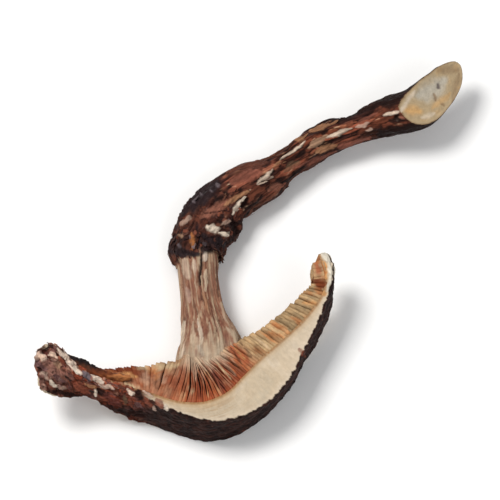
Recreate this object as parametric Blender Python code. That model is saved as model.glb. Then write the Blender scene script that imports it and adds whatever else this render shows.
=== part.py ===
"""A dried matsutake slice, lying on its back cut as it would on a table.

A thick lengthwise slice of a small mushroom, taken just in front of its stem and dried until it curled.
Two pieces: the cap, a curved wedge of flesh with its gills, and the bent stem that stands in a socket of it.
Lengths are in millimetres, angles in degrees, +Z up, and the origin is at the middle of the footprint.
"""

import math

import bmesh
import bpy
from mathutils import Matrix, Vector

MM = 0.001

# The cap, from its twisted left margin to its right tip. The gill line is the front edge of the flesh
# where the gills begin. Heading is the way the slice runs there, seen from above. Flesh is the depth from
# the gill line to the skin, thick the thickness of the slice, bulge how far the dome swells behind the
# front cut, twist how far the slice has turned about its own length, gill the height of the gills, and
# slope how far their free edge lies behind the front cut.
CAP_FIELDS = ("x", "y", "z", "heading", "flesh", "thick", "bulge", "twist", "gill", "slope")
CAP_STATIONS = (
    (-31.0, -18.2, 9.0, -2, 1.1, 4.2, 0.2, 66, 1.0, 0.3),
    (-29.8, -17.3, 9.1, -4, 1.2, 6.6, 0.3, 66, 1.2, 0.3),
    (-28.2, -17.6, 9.0, -6, 1.2, 7.2, 0.3, 62, 1.5, 0.4),
    (-26.5, -19.4, 8.8, -9, 1.1, 5.9, 0.4, 52, 2.0, 0.4),
    (-25.0, -20.7, 8.5, -12, 1.1, 4.7, 0.4, 40, 2.4, 0.5),
    (-23.4, -21.4, 8.2, -15, 1.1, 3.8, 0.4, 26, 2.5, 0.7),
    (-21.9, -21.8, 7.9, -16, 1.1, 4.5, 0.4, 18, 2.4, 0.8),
    (-20.2, -22.3, 7.6, -16, 1.1, 5.4, 0.4, 12, 2.6, 1.0),
    (-18.0, -23.0, 7.3, -16, 1.1, 6.2, 0.4, 8, 3.6, 1.4),
    (-15.0, -23.7, 7.1, -17, 1.2, 6.8, 0.4, 4, 5.1, 2.0),
    (-12.3, -24.6, 7.0, -15, 1.5, 7.0, 0.4, 1, 6.8, 2.6),
    (-9.6, -25.2, 6.9, -4, 2.1, 7.0, 0.4, 0, 7.7, 3.0),
    (-6.4, -25.0, 6.9, 15, 3.4, 7.0, 0.4, 0, 7.8, 3.1),
    (-3.3, -23.3, 6.9, 34, 4.7, 7.0, 0.4, 0, 7.0, 2.7),
    (-0.8, -20.7, 6.9, 44, 5.8, 7.0, 0.4, 0, 5.7, 2.2),
    (1.5, -18.4, 6.9, 44, 5.6, 7.0, 0.4, 0, 4.9, 1.8),
    (3.6, -16.4, 6.9, 44, 4.8, 7.0, 0.4, 0, 4.1, 1.4),
    (5.7, -14.4, 7.0, 45, 3.5, 7.0, 0.4, 0, 3.8, 1.2),
    (7.8, -12.3, 7.2, 48, 2.5, 6.6, 0.5, 0, 3.7, 1.1),
    (9.6, -10.1, 7.6, 56, 1.7, 5.9, 0.5, -2, 3.3, 1.0),
    (10.8, -8.1, 8.0, 70, 1.2, 5.2, 0.5, -5, 2.8, 0.8),
    (11.1, -6.4, 8.4, 90, 1.2, 4.5, 0.5, -8, 2.1, 0.6),
    (10.5, -4.4, 8.9, 105, 1.7, 3.8, 0.4, -10, 1.2, 0.4),
    (9.8, -2.9, 9.2, 110, 1.2, 3.0, 0.3, -12, 0.6, 0.3),
)
CAP_RINGS = 54
SKIN_STEPS = 5
SKIN_RIPPLE = 0.22
SKIN_RIPPLES_ALONG = (23, 9)
TORN_END_RIPPLE = 0.45
TORN_END_SHARE = 0.13

# The gills stand on the flesh like the leaves of a fan: square to the cut under the stem, and turned
# towards it further out. Those in front of the stem are short. Each leaf is thinner at its free edge.
GILL_COUNT = 54
GILL_SHARES = (0.04, 0.48, 0.97)
GILL_CROWDING = 0.4
GILL_TURN = 34
GILL_TURN_QUICKNESS = 4
GILL_ROOT_DEEP = 0.5
GILL_ROOT_THICK = 0.52
GILL_EDGE_THICK = 0.22
GILL_RISES = (0.0, 0.5, 1.0)
GILL_FRONT_GAP = 0.25
GILL_BACK_GAP = 0.45
GILL_UNEVEN = 0.10
GILL_WAVE = 0.18
SHORT_GILL_REACH = 6.2
SHORT_GILL_SHARE = 0.5

# The stem, from its foot in the cap's flesh, up through the ring and the bend, to the trimmed butt.
# Wide and deep are half sizes across the slice and through it.
STEM_FIELDS = ("x", "y", "z", "wide", "deep")
STEM_STATIONS = (
    (-6.0, -25.6, 1.9, 4.4, 2.2),
    (-5.7, -22.5, 1.9, 5.1, 2.5),
    (-5.6, -19.5, 2.0, 5.2, 2.9),
    (-5.6, -16.4, 2.4, 5.0, 3.2),
    (-5.7, -13.9, 2.7, 4.5, 3.4),
    (-6.1, -11.9, 2.9, 3.85, 3.4),
    (-6.5, -9.9, 3.0, 3.25, 3.3),
    (-6.9, -7.2, 3.0, 2.9, 3.2),
    (-7.3, -4.2, 3.0, 2.85, 3.2),
    (-7.5, -1.4, 3.0, 3.0, 3.2),
    (-7.6, -0.2, 3.0, 4.0, 3.7),
    (-7.3, 1.7, 3.0, 4.2, 3.5),
    (-6.4, 4.6, 2.9, 4.4, 3.2),
    (-4.9, 7.4, 2.8, 4.3, 3.1),
    (-2.6, 9.9, 2.8, 3.9, 3.1),
    (0.1, 11.5, 2.9, 3.4, 3.0),
    (3.0, 13.1, 2.9, 2.8, 2.8),
    (5.9, 15.2, 2.9, 2.1, 2.4),
    (9.9, 18.1, 3.1, 2.3, 2.3),
    (15.5, 20.4, 3.9, 2.1, 2.2),
    (20.4, 22.0, 5.0, 2.7, 2.5),
    (24.6, 23.3, 6.0, 3.0, 2.7),
    (27.4, 24.9, 6.7, 2.85, 2.6),
    (29.6, 26.9, 7.3, 2.1, 2.2),
    (30.8, 28.4, 7.7, 1.0, 1.5),
)
STEM_RINGS = 62
STEM_SIDES = 24
STEM_TANGENT_STEP = 0.004
SOCKET_GAP = 0.3

# Relief of the stem's surface, as shares of its radius, with the share of its length where each lies.
# Lumps are waves: how many along the stem, how many around it, and how strong.
RING_AT = 0.33
RING_SHARPNESS = 160
FLUTE_COUNT = 7
FLUTE_DEPTH = 0.07
FLUTE_WANDER = 2.5
BARK_LUMPS = ((9.9, 3, 0.0375), (7.5, -4, 0.0375), (13.2, 5, 0.03))
CREASE_AT = 0.455
CREASE_LENGTH = 0.012
CREASE_SIDE = 315
CREASE_DEPTH = 0.30
FLAP_AT = 0.715
FLAP_LENGTH = 0.022
FLAP_SIDE = 150
FLAP_HEIGHT = 0.22

# The butt was trimmed with one slanting stroke of a knife: a point of the cut, its turn and its tilt.
BUTT_CUT_POINT = (22.6, 23.0, 8.4)
BUTT_CUT_TURN = 32
BUTT_CUT_TILT = 11
KNIFE_SIZE = 120

FLESH_COLOUR = (0.66, 0.57, 0.44, 1)
BARK_COLOUR = (0.16, 0.08, 0.055, 1)
SHARP_ANGLE = 40


def clear_scene():
    for thing in list(bpy.data.objects):
        bpy.data.objects.remove(thing, do_unlink=True)


def new_collection(name):
    made = bpy.data.collections.new(name)
    bpy.context.scene.collection.children.link(made)
    return made


def material(name, colour, roughness):
    made = bpy.data.materials.new(name)
    made.use_nodes = True
    shader = made.node_tree.nodes["Principled BSDF"]
    shader.inputs["Base Color"].default_value = colour
    shader.inputs["Roughness"].default_value = roughness
    shader.inputs["Metallic"].default_value = 0
    return made


def mushroom_flesh():
    return material("mushroom_flesh", FLESH_COLOUR, 0.85)


def stem_bark():
    return material("stem_bark", BARK_COLOUR, 0.8)


class Track:
    """A smooth curve through stations, read by share of its length, with the fields that go with it."""

    SAMPLES = 600

    def __init__(self, fields, stations):
        self.fields = fields
        self.stations = stations
        last = len(stations) - 1
        spots = [Vector(self.read(last * i / self.SAMPLES)[:3]) for i in range(self.SAMPLES + 1)]
        self.lengths = [0.0]
        for one, two in zip(spots, spots[1:]):
            self.lengths.append(self.lengths[-1] + (two - one).length)
        self.length = self.lengths[-1]

    def read(self, index):
        """All the fields at a station number that may lie between two stations, by Catmull-Rom."""
        last = len(self.stations) - 1
        first = min(int(index), last - 1)
        t = index - first
        before, start, end, after = (self.stations[min(max(first + k, 0), last)] for k in (-1, 0, 1, 2))
        values = []
        for p, q, r, s in zip(before, start, end, after):
            cubic = (3 * q - p - 3 * r + s) * t**3
            square = (2 * p - 5 * q + 4 * r - s) * t**2
            values.append(0.5 * (2 * q + (r - p) * t + square + cubic))
        return values

    def at(self, share):
        """The fields at a share of the length, from 0 to 1."""
        wanted = min(max(share, 0.0), 1.0) * self.length
        low = 0
        high = self.SAMPLES
        while high - low > 1:
            middle = (low + high) // 2
            if self.lengths[middle] <= wanted:
                low = middle
            else:
                high = middle
        part = (wanted - self.lengths[low]) / (self.lengths[high] - self.lengths[low])
        index = (low + part) * (len(self.stations) - 1) / self.SAMPLES
        return dict(zip(self.fields, self.read(index)))

    def point(self, share):
        here = self.at(share)
        return Vector((here["x"], here["y"], here["z"]))

    def tangent(self, share):
        ahead = self.point(share + STEM_TANGENT_STEP)
        behind = self.point(share - STEM_TANGENT_STEP)
        return (ahead - behind).normalized()


CAP = Track(CAP_FIELDS, CAP_STATIONS)
STEM = Track(STEM_FIELDS, STEM_STATIONS)


def cap_point(share, height, depth):
    """A point of the slice: height is from the gill line towards the stem, depth back from the front cut."""
    here = CAP.at(share)
    heading = math.radians(here["heading"])
    along = Vector((math.cos(heading), math.sin(heading), 0))
    turn = Matrix.Rotation(-math.radians(here["twist"]), 3, along)
    up = turn @ Vector((-along.y, along.x, 0))
    front = turn @ Vector((0, 0, 1))
    return Vector((here["x"], here["y"], here["z"])) + up * height - front * depth


def add_loft(shape, rings):
    """Adds a closed skin through rings of equally many points, with a flat face at each end."""
    rows = [[shape.verts.new(point * MM) for point in ring] for ring in rings]
    for one, two in zip(rows, rows[1:]):
        for i in range(len(one)):
            j = (i + 1) % len(one)
            shape.faces.new((one[i], one[j], two[j], two[i]))
    shape.faces.new(rows[0])
    shape.faces.new(rows[-1][::-1])


def new_object(name, lofts):
    shape = bmesh.new()
    for rings in lofts:
        add_loft(shape, rings)
    bmesh.ops.recalc_face_normals(shape, faces=shape.faces)
    bmesh.ops.triangulate(shape, faces=shape.faces)
    mesh = bpy.data.meshes.new(name)
    shape.to_mesh(mesh)
    shape.free()
    return bpy.data.objects.new(name, mesh)


def dress(thing, collection, finish):
    collection.objects.link(thing)
    thing.data.materials.append(finish)
    thing.data.shade_smooth()
    thing.data.set_sharp_from_angle(angle=math.radians(SHARP_ANGLE))
    return thing


def skin_ripple(share, back):
    """How far the scaly skin swells at a share of the length and a share of the way back."""
    torn = max(0.0, 1 - share / TORN_END_SHARE)
    reach = SKIN_RIPPLE + TORN_END_RIPPLE * torn
    fine, coarse = SKIN_RIPPLES_ALONG
    wave = math.sin(fine * math.tau * share + 5 * back)
    return reach * wave * math.sin(coarse * math.tau * share - 7 * back)


def flesh_ring(share):
    """The section of the cap's flesh: a flat front cut, a rippled skin, a flat back and the gill side."""
    here = CAP.at(share)
    flesh = here["flesh"]
    thick = here["thick"]
    section = [(0, 0), (-flesh / 2, 0)]
    for k in range(SKIN_STEPS + 1):
        back = k / SKIN_STEPS
        swell = here["bulge"] * (1 - (1 - back) ** 2)
        section.append((-flesh - swell - skin_ripple(share, back), thick * back))
    section += [(-flesh / 2, thick), (0, thick), (0, thick * 2 / 3), (0, thick / 3)]
    return [cap_point(share, height, depth) for height, depth in section]


def gill_share(number):
    """Where a gill stands on the gill line: they crowd together under the stem and open out to both ends."""
    first, middle, last = GILL_SHARES
    spread = 2 * number / (GILL_COUNT - 1) - 1
    spread = (spread + GILL_CROWDING * spread**3) / (1 + GILL_CROWDING)
    reach = middle - first if spread < 0 else last - middle
    return middle + reach * spread


def gill_rings(number):
    """The sections of one gill, from its root in the flesh to its wavy free edge."""
    share = gill_share(number)
    here = CAP.at(share)
    root = -min(GILL_ROOT_DEEP, here["flesh"] / 2)
    tall = here["gill"] * (1 + GILL_UNEVEN * math.sin(2.4 * number))
    lean = -math.radians(GILL_TURN) * math.tanh(GILL_TURN_QUICKNESS * (share - GILL_SHARES[1]))
    leaned = CAP.at(share + math.tan(lean) * here["thick"] / CAP.length)
    back = min(here["thick"], leaned["thick"]) - GILL_BACK_GAP
    if abs(here["x"] - STEM_STATIONS[0][0]) < SHORT_GILL_REACH:
        back = here["thick"] * SHORT_GILL_SHARE
    rings = []
    for rise in GILL_RISES:
        half = (GILL_ROOT_THICK + (GILL_EDGE_THICK - GILL_ROOT_THICK) * rise) / 2
        height = root + (tall - root) * rise
        front = GILL_FRONT_GAP + here["slope"] * rise**1.4
        ring = []
        for side, depth, phase in ((-half, front, 0), (half, front, 0), (half, back, 3), (-half, back, 3)):
            along = side + math.tan(lean) * depth + GILL_WAVE * math.sin(phase + number)
            ring.append(cap_point(share + along / CAP.length, height, depth))
        rings.append(ring)
    return rings


def near(share, middle, length):
    """A smooth hump of height 1 at a share of the stem's length."""
    return math.exp(-(((share - middle) / length) ** 2))


def facing(angle, side, sharpness):
    """How far a place on the stem faces a side, from 1 on it to 0 a quarter turn away."""
    return max(0.0, math.cos(angle - math.radians(side))) ** sharpness


def stem_relief(share, angle):
    """Swelling of the stem's radius: long flutes below the ring, knobbly bark and two folds above it."""
    below = 1 / (1 + math.exp((share - RING_AT) * RING_SHARPNESS))
    flutes = FLUTE_DEPTH * math.cos(FLUTE_COUNT * angle + FLUTE_WANDER * math.sin(5 * share))
    bark = 0.0
    for along, around, strength in BARK_LUMPS:
        bark += strength * math.sin(math.tau * along * share + around * angle)
    bark -= CREASE_DEPTH * near(share, CREASE_AT, CREASE_LENGTH) * facing(angle, CREASE_SIDE, 2)
    bark += FLAP_HEIGHT * near(share, FLAP_AT, FLAP_LENGTH) * facing(angle, FLAP_SIDE, 3)
    return below * flutes + (1 - below) * bark


def stem_ring(share, grow):
    """The section of the stem: an oval square to its run, angle 0 on the right of the run, 90 on top."""
    here = STEM.at(share)
    along = STEM.tangent(share)
    right = along.cross(Vector((0, 0, 1))).normalized()
    top = right.cross(along)
    ring = []
    for k in range(STEM_SIDES):
        angle = math.tau * k / STEM_SIDES
        swell = 1 + stem_relief(share, angle)
        across = (here["wide"] * swell + grow) * math.cos(angle)
        up = (here["deep"] * swell + grow) * math.sin(angle)
        ring.append(STEM.point(share) + right * across + top * up)
    return ring


def stem_rings(grow=0.0):
    """The stem's sections from foot to butt. A grown stem also reaches further down by as much."""
    rings = [stem_ring(i / STEM_RINGS, grow) for i in range(STEM_RINGS + 1)]
    if grow:
        rings.insert(0, [point - STEM.tangent(0) * grow for point in rings[0]])
    return rings


def knife_block(name, point, turn, tilt):
    """A block whose flat underside is the cut: everything on its side of the cut goes."""
    bpy.ops.mesh.primitive_cube_add(size=KNIFE_SIZE * MM)
    block = bpy.context.object
    block.name = name
    slant = Matrix.Rotation(math.radians(turn), 4, "Z") @ Matrix.Rotation(math.radians(tilt), 4, "Y")
    lift = Matrix.Translation(Vector((0, 0, KNIFE_SIZE * MM / 2)))
    block.matrix_world = Matrix.Translation(Vector(point) * MM) @ slant @ lift
    return block


def put_away(tool, collection):
    for holder in list(tool.users_collection):
        holder.objects.unlink(tool)
    collection.objects.link(tool)
    tool.hide_render = True
    tool.display_type = "WIRE"
    return tool


def join_or_cut(thing, tool, operation):
    """Joins the tool to the thing or cuts it away. Gills that cross near the stem are joined as well."""
    step = thing.modifiers.new(f"{operation.lower()}_{tool.name}", "BOOLEAN")
    step.operation = operation
    step.solver = "EXACT"
    step.use_self = operation == "UNION"
    step.object = tool


def build_cap(slice_parts, gills, socket, board):
    cap = new_object("cap", [[flesh_ring(i / CAP_RINGS) for i in range(CAP_RINGS + 1)]])
    dress(cap, slice_parts, mushroom_flesh())
    join_or_cut(cap, gills, "UNION")
    join_or_cut(cap, socket, "DIFFERENCE")
    join_or_cut(cap, board, "DIFFERENCE")


def build_stem(slice_parts, board, butt_knife):
    stem = new_object("stem", [stem_rings()])
    dress(stem, slice_parts, stem_bark())
    join_or_cut(stem, board, "DIFFERENCE")
    join_or_cut(stem, butt_knife, "DIFFERENCE")


def build():
    clear_scene()
    slice_parts = new_collection("dried_matsutake_slice")
    tools = new_collection("tools")
    gills = put_away(new_object("gills", [gill_rings(number) for number in range(GILL_COUNT)]), tools)
    socket = put_away(new_object("socket", [stem_rings(SOCKET_GAP)]), tools)
    board = put_away(knife_block("board", (0, 0, 0), 0, 180), tools)
    butt_knife = put_away(knife_block("butt_knife", BUTT_CUT_POINT, BUTT_CUT_TURN, BUTT_CUT_TILT), tools)
    build_cap(slice_parts, gills, socket, board)
    build_stem(slice_parts, board, butt_knife)


build()
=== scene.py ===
"""The looks of the dried matsutake slice: cut flesh, scaly skin, gills, fibrous stem, ragged ring and bark.

Every shape is worked out in millimetres from stations like those of the solids, then written in metres.
Colours are painted on the points, in code, and the materials add finer grain, roughness and bump.
"""

import math

import bpy
import numpy as np
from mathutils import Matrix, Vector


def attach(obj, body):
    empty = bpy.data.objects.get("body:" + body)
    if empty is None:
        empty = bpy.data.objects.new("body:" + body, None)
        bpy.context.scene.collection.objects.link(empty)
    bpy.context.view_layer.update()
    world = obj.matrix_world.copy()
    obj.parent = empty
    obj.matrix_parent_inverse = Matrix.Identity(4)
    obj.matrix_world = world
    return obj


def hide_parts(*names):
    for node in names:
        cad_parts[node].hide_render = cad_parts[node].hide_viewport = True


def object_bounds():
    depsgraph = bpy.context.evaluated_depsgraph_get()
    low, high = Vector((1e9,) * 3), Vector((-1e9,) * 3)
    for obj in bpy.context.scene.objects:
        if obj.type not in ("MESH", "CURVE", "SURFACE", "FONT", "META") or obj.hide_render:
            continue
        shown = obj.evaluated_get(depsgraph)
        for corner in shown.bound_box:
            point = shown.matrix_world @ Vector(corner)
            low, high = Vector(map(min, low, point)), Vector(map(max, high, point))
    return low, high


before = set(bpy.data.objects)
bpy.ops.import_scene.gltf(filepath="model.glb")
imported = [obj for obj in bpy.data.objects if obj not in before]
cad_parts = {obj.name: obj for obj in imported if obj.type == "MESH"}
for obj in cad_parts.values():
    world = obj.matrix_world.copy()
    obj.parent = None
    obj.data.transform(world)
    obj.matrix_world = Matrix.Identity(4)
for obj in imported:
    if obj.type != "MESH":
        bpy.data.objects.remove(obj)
CAD_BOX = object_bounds()

MM = 0.001
TINY = 1e-12

# The stations of the solids, with small corrections after the photograph: the gill line of the cap, the
# middle line of the stem, and the thin dark blade at the torn end.
CAP_FIELDS = ("x", "y", "z", "heading", "flesh", "thick", "bulge", "twist", "gill", "slope")
CAP_STATIONS = (
    (-31, -18.2, 9, -2, 1.1, 3.4, 0.2, 66, 1, 0.3),
    (-29.8, -17.3, 9.1, -4, 1.2, 6.2, 0.3, 66, 1.2, 0.3),
    (-28.2, -17.3, 9, -6, 1.2, 7, 0.3, 62, 1.5, 0.4),
    (-26.5, -18.9, 8.8, -9, 1.1, 5.8, 0.4, 52, 2, 0.4),
    (-25, -20.2, 8.5, -12, 1.1, 4.5, 0.4, 40, 2.3, 0.5),
    (-23.4, -21, 8.2, -15, 1.1, 3.4, 0.4, 26, 2.3, 0.7),
    (-21.9, -21.5, 7.9, -16, 1.1, 3.7, 0.4, 18, 2.1, 0.8),
    (-20.2, -22.1, 7.6, -16, 1.1, 4.8, 0.4, 12, 2.2, 1),
    (-18, -22.9, 7.3, -16, 1.1, 5.8, 0.4, 8, 3.6, 1.4),
    (-15, -23.7, 7.1, -17, 1.2, 6.7, 0.4, 4, 5.8, 2),
    (-12.3, -24.6, 7, -15, 1.5, 7, 0.4, 1, 7.7, 2.6),
    (-9.6, -25.2, 6.9, -4, 2.1, 7, 0.4, 0, 8.1, 3),
    (-6.4, -25.1, 6.9, 14, 3.35, 7, 0.2, 0, 7.9, 3.1),
    (-3.2, -23.6, 6.9, 33, 4.6, 7, -0.5, 0, 7.3, 2.7),
    (-0.7, -20.9, 6.9, 44, 5.7, 7, -1, 0, 5.9, 2.2),
    (1.5, -18.4, 6.9, 44, 5.6, 7, -1, 0, 4.9, 1.8),
    (3.6, -16.4, 6.9, 44, 4.8, 7, -0.7, 0, 4.1, 1.4),
    (5.7, -14.4, 7, 45, 3.5, 7, -0.6, 0, 3.7, 1.2),
    (7.8, -12.3, 7.2, 48, 2.5, 6.6, -0.2, 0, 3.4, 1.1),
    (9.6, -10.1, 7.6, 56, 1.5, 5.9, 0.4, -2, 3, 1),
    (10.8, -8.1, 8, 70, 1, 5.2, 0.7, -5, 2.5, 0.8),
    (11.1, -6.4, 8.4, 90, 1.2, 4.5, 0.5, -8, 1.6, 0.6),
    (10.7, -4.2, 8.9, 102, 1.8, 3.8, 0.4, -10, 1.3, 0.4),
    (10, -2.1, 9.2, 110, 1.3, 3, 0.3, -12, 0.7, 0.3),
)
STEM_FIELDS = ("x", "y", "z", "wide", "deep")
STEM_STATIONS = (
    (-6, -25.6, 1.9, 4.4, 2.2),
    (-5.7, -22.5, 1.9, 5.1, 2.5),
    (-5.6, -19.5, 2, 5.2, 2.9),
    (-5.6, -16.4, 2.4, 5, 3.2),
    (-5.7, -13.9, 2.7, 4.5, 3.4),
    (-6.1, -11.9, 2.9, 3.85, 3.4),
    (-6.5, -9.9, 3, 3.25, 3.3),
    (-6.9, -7.2, 3, 2.9, 3.2),
    (-7.3, -4.2, 3, 2.85, 3.2),
    (-7.5, -1.4, 3, 2.95, 3.2),
    (-7.7, -0.5, 3, 3.1, 3.3),
    (-7.8, 0.4, 3, 3.8, 3.6),
    (-7.4, 1.9, 3, 3.85, 3.5),
    (-6.2, 4.6, 2.9, 4.2, 3.2),
    (-4.7, 7.3, 2.8, 4.1, 3.1),
    (-2.5, 9.8, 2.8, 3.8, 3.1),
    (0.1, 11.5, 2.9, 3.4, 3),
    (3, 13.1, 2.9, 2.8, 2.8),
    (5.9, 15.2, 2.9, 2.1, 2.4),
    (9.9, 18.1, 3.1, 2.3, 2.3),
    (15.5, 20.3, 3.9, 2, 2.2),
    (20.4, 21.8, 5, 2.7, 2.6),
    (24.8, 22.8, 6, 3.3, 2.8),
    (27.4, 25, 6.4, 3, 2.6),
    (29.5, 27.7, 6.3, 2.35, 2.1),
    (30.9, 30.2, 6.1, 1.7, 1.6),
)
BLADE_FIELDS = ("x", "y", "z", "tall", "deep")
BLADE_STATIONS = (
    (-27.8, -17.9, 8.5, 0.15, 0.1),
    (-26, -19.2, 8.2, 0.7, 0.5),
    (-24, -20.1, 7.9, 0.85, 0.8),
    (-21.6, -21.2, 7.6, 0.65, 0.8),
    (-19.2, -21.4, 7.2, 0.6, 0.8),
    (-17.4, -21.4, 7, 0.3, 0.5),
)
TANGENT_STEP = 0.004

# The knife's cut at the butt: a point of its plane in millimetres, and its turn and tilt in degrees.
BUTT_CUT_POINT = (23.4, 23.2, 8)
BUTT_CUT_TURN = -22
BUTT_CUT_TILT = 21

# Heights in millimetres: above the first the shapes flatten out, and pass it by the second at most.
TOP_SOFT = 10.25
TOP_GIVE = 0.3

# How the photograph sees the slice. PHOTO_MIDDLE is the pixel of X 0, Y PHOTO_Y and Z 0, PHOTO_PIXEL and
# FRAME_WIDTH are the millimetres in a pixel and in the frame, and the view looks down by VIEW_LIFT.
PHOTO_MIDDLE = (238, 124)
PHOTO_PIXEL = 0.3
PHOTO_Y = 2.75
VIEW_LIFT = math.radians(65)
CAMERA_LENS = 900
CAMERA_SENSOR = 36
FRAME_WIDTH = 73.6

# Each lamp: its name, its place and width in metres, its power and its colour.
LAMPS = (
    ("key", (-0.22, 0.1, 0.42), 0.2, 2, (1, 0.985, 0.96)),
    ("fill", (0.25, -0.3, 0.35), 0.35, 0.7, (0.98, 0.99, 1)),
)
SKY_STRENGTH = 0.4
PAPER_SIZE = 3
PAPER_GAP = 0.00002
PAPER_TONES = (0.9, 0.94)

# Dry flesh and skin shine little, and dark skin reflects a brown sheen.
SHINE = 0.15
WHITE_SHEEN = (1, 1, 1)
BROWN_SHEEN = (0.9, 0.5, 0.4)
PATCH_SHARE = 0.6
PIT_SHARE = 0.45
BUMP_STRENGTH = 0.8
NOISE_RANGE = (0.3, 0.7)

# Colours as linear red, green and blue.
COLOURS = {
    "flesh": (0.52, 0.415, 0.292),
    "flesh_bright": (0.6, 0.5, 0.385),
    "flesh_grey": (0.44, 0.372, 0.28),
    "flesh_line": (0.3, 0.15, 0.06),
    "crust": (0.64, 0.58, 0.48),
    "orange": (0.42, 0.16, 0.055),
    "orange_light": (0.52, 0.26, 0.1),
    "rust": (0.15, 0.034, 0.01),
    "ember": (0.345, 0.084, 0.032),
    "gill_tan": (0.46, 0.3, 0.155),
    "gill_cream": (0.47, 0.345, 0.205),
    "gill_pink": (0.4, 0.23, 0.15),
    "gill_gold": (0.44, 0.24, 0.09),
    "gill_brown": (0.26, 0.075, 0.027),
    "gill_red": (0.23, 0.06, 0.026),
    "gill_dark": (0.08, 0.024, 0.01),
    "skin": (0.026, 0.01, 0.008),
    "skin_black": (0.009, 0.004, 0.004),
    "skin_brown": (0.08, 0.03, 0.02),
    "skin_red": (0.2, 0.058, 0.034),
    "skin_purple": (0.13, 0.066, 0.064),
    "skin_pale": (0.46, 0.32, 0.25),
    "lobe": (0.265, 0.13, 0.1),
    "blush": (0.7, 0.5, 0.38),
    "bloom": (0.59, 0.47, 0.38),
    "maroon": (0.12, 0.034, 0.026),
    "stem_pale": (0.37, 0.258, 0.17),
    "stem_cream": (0.48, 0.37, 0.262),
    "stem_brown": (0.25, 0.12, 0.072),
    "stem_red": (0.17, 0.062, 0.04),
    "stem_dark": (0.08, 0.03, 0.02),
    "ring": (0.085, 0.038, 0.028),
    # A grey of the ring, also used for painted highlights: small bluish specks on dark lumps.
    "ring_grey_and_painted_highlight": (0.13, 0.105, 0.115),
    "ring_black": (0.014, 0.01, 0.012),
    "kink_red": (0.215, 0.085, 0.056),
    "kink_tan": (0.33, 0.165, 0.085),
    "white_bit": (0.62, 0.52, 0.42),
    "bark": (0.105, 0.036, 0.023),
    "bark_dark": (0.03, 0.011, 0.01),
    "bark_black": (0.008, 0.004, 0.004),
    "bark_olive": (0.11, 0.07, 0.042),
    "bark_red": (0.21, 0.072, 0.048),
    "bark_tan": (0.31, 0.19, 0.12),
    "bark_pale": (0.52, 0.41, 0.32),
    "butt_grey": (0.43, 0.385, 0.31),
    "butt_rim": (0.4, 0.3, 0.18),
    "butt_rim_edge": (0.21, 0.13, 0.068),
    "butt_orange": (0.52, 0.31, 0.13),
    "butt_spot": (0.13, 0.105, 0.095),
}

# Factors on red, green and blue: crumbled skin, cream gills, the gills at the left and at the right, and the
# bark near the ring and towards the butt.
CRUMB_WARMTH = (1.08, 0.84, 0.72)
CREAM_SHADE = (0.89, 0.92, 0.98)
GILL_WARMTH = ((1, 0.82, 0.7), (0.93, 0.82, 0.68))
BARK_WARMTH = ((1.04, 0.94, 0.84), (1.16, 0.95, 0.76))

# Colours that plates of skin, chips, strips of bark and clods take by chance.
SKIN_PLATES = ("skin_black", "skin", "skin_black", "skin", "skin", "skin_black")
SKIN_CHIPS = (
    "skin_purple", "skin_red", "skin_brown", "kink_red", "skin", "skin_purple", "skin_red", "skin_brown",
)
BARK_STRIPS = ("bark_dark", "bark", "bark_black", "bark_red", "bark", "bark_black", "kink_red", "bark_dark")
RING_CLODS = ("ring_black", "bark_dark", "ring", "bark_black", "bark", "ring_black", "bark_dark", "bark_red")

# Each kind of torn flake: its seed, its ranges of length, width, curl and thickness in millimetres, and the
# colours that some flakes take.
FLAKES = {
    "margin_crumbs": (
        61,
        ((0.3, 0.9), (0.12, 0.34), (0, 0.3), (0.04, 0.09)),
        ("skin_purple", "skin_black", "skin_pale", "skin_red", "skin_brown", "skin_pale", "skin_purple",
         "skin"),
    ),
    "skin_scales": (
        62,
        ((0.4, 1.1), (0.12, 0.34), (-0.02, 0.06), (0.03, 0.06)),
        ("skin_black", "skin_brown", "skin", "skin_black", "skin_red", "skin", "skin_black"),
    ),
    "ring_rags": (
        63,
        ((0.4, 1.1), (0.15, 0.45), (0, 0.18), (0.05, 0.1)),
        ("ring_black", "ring", "bark_dark", "ring_black", "bark", "ring_grey_and_painted_highlight", "ring", "ring_black",
         "bark_dark"),
    ),
    "bark_shreds": (
        64,
        ((0.6, 1.7), (0.08, 0.24), (-0.07, 0.02), (0.03, 0.07)),
        ("bark_dark", "bark", "bark_black", "bark_red", "bark_dark", "bark", "bark_tan", "bark_black",
         "kink_red"),
    ),
}
FLAKE_ROWS = 7
FLAKE_COLUMNS = 6
FLAKE_SWING = 0.35

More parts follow.
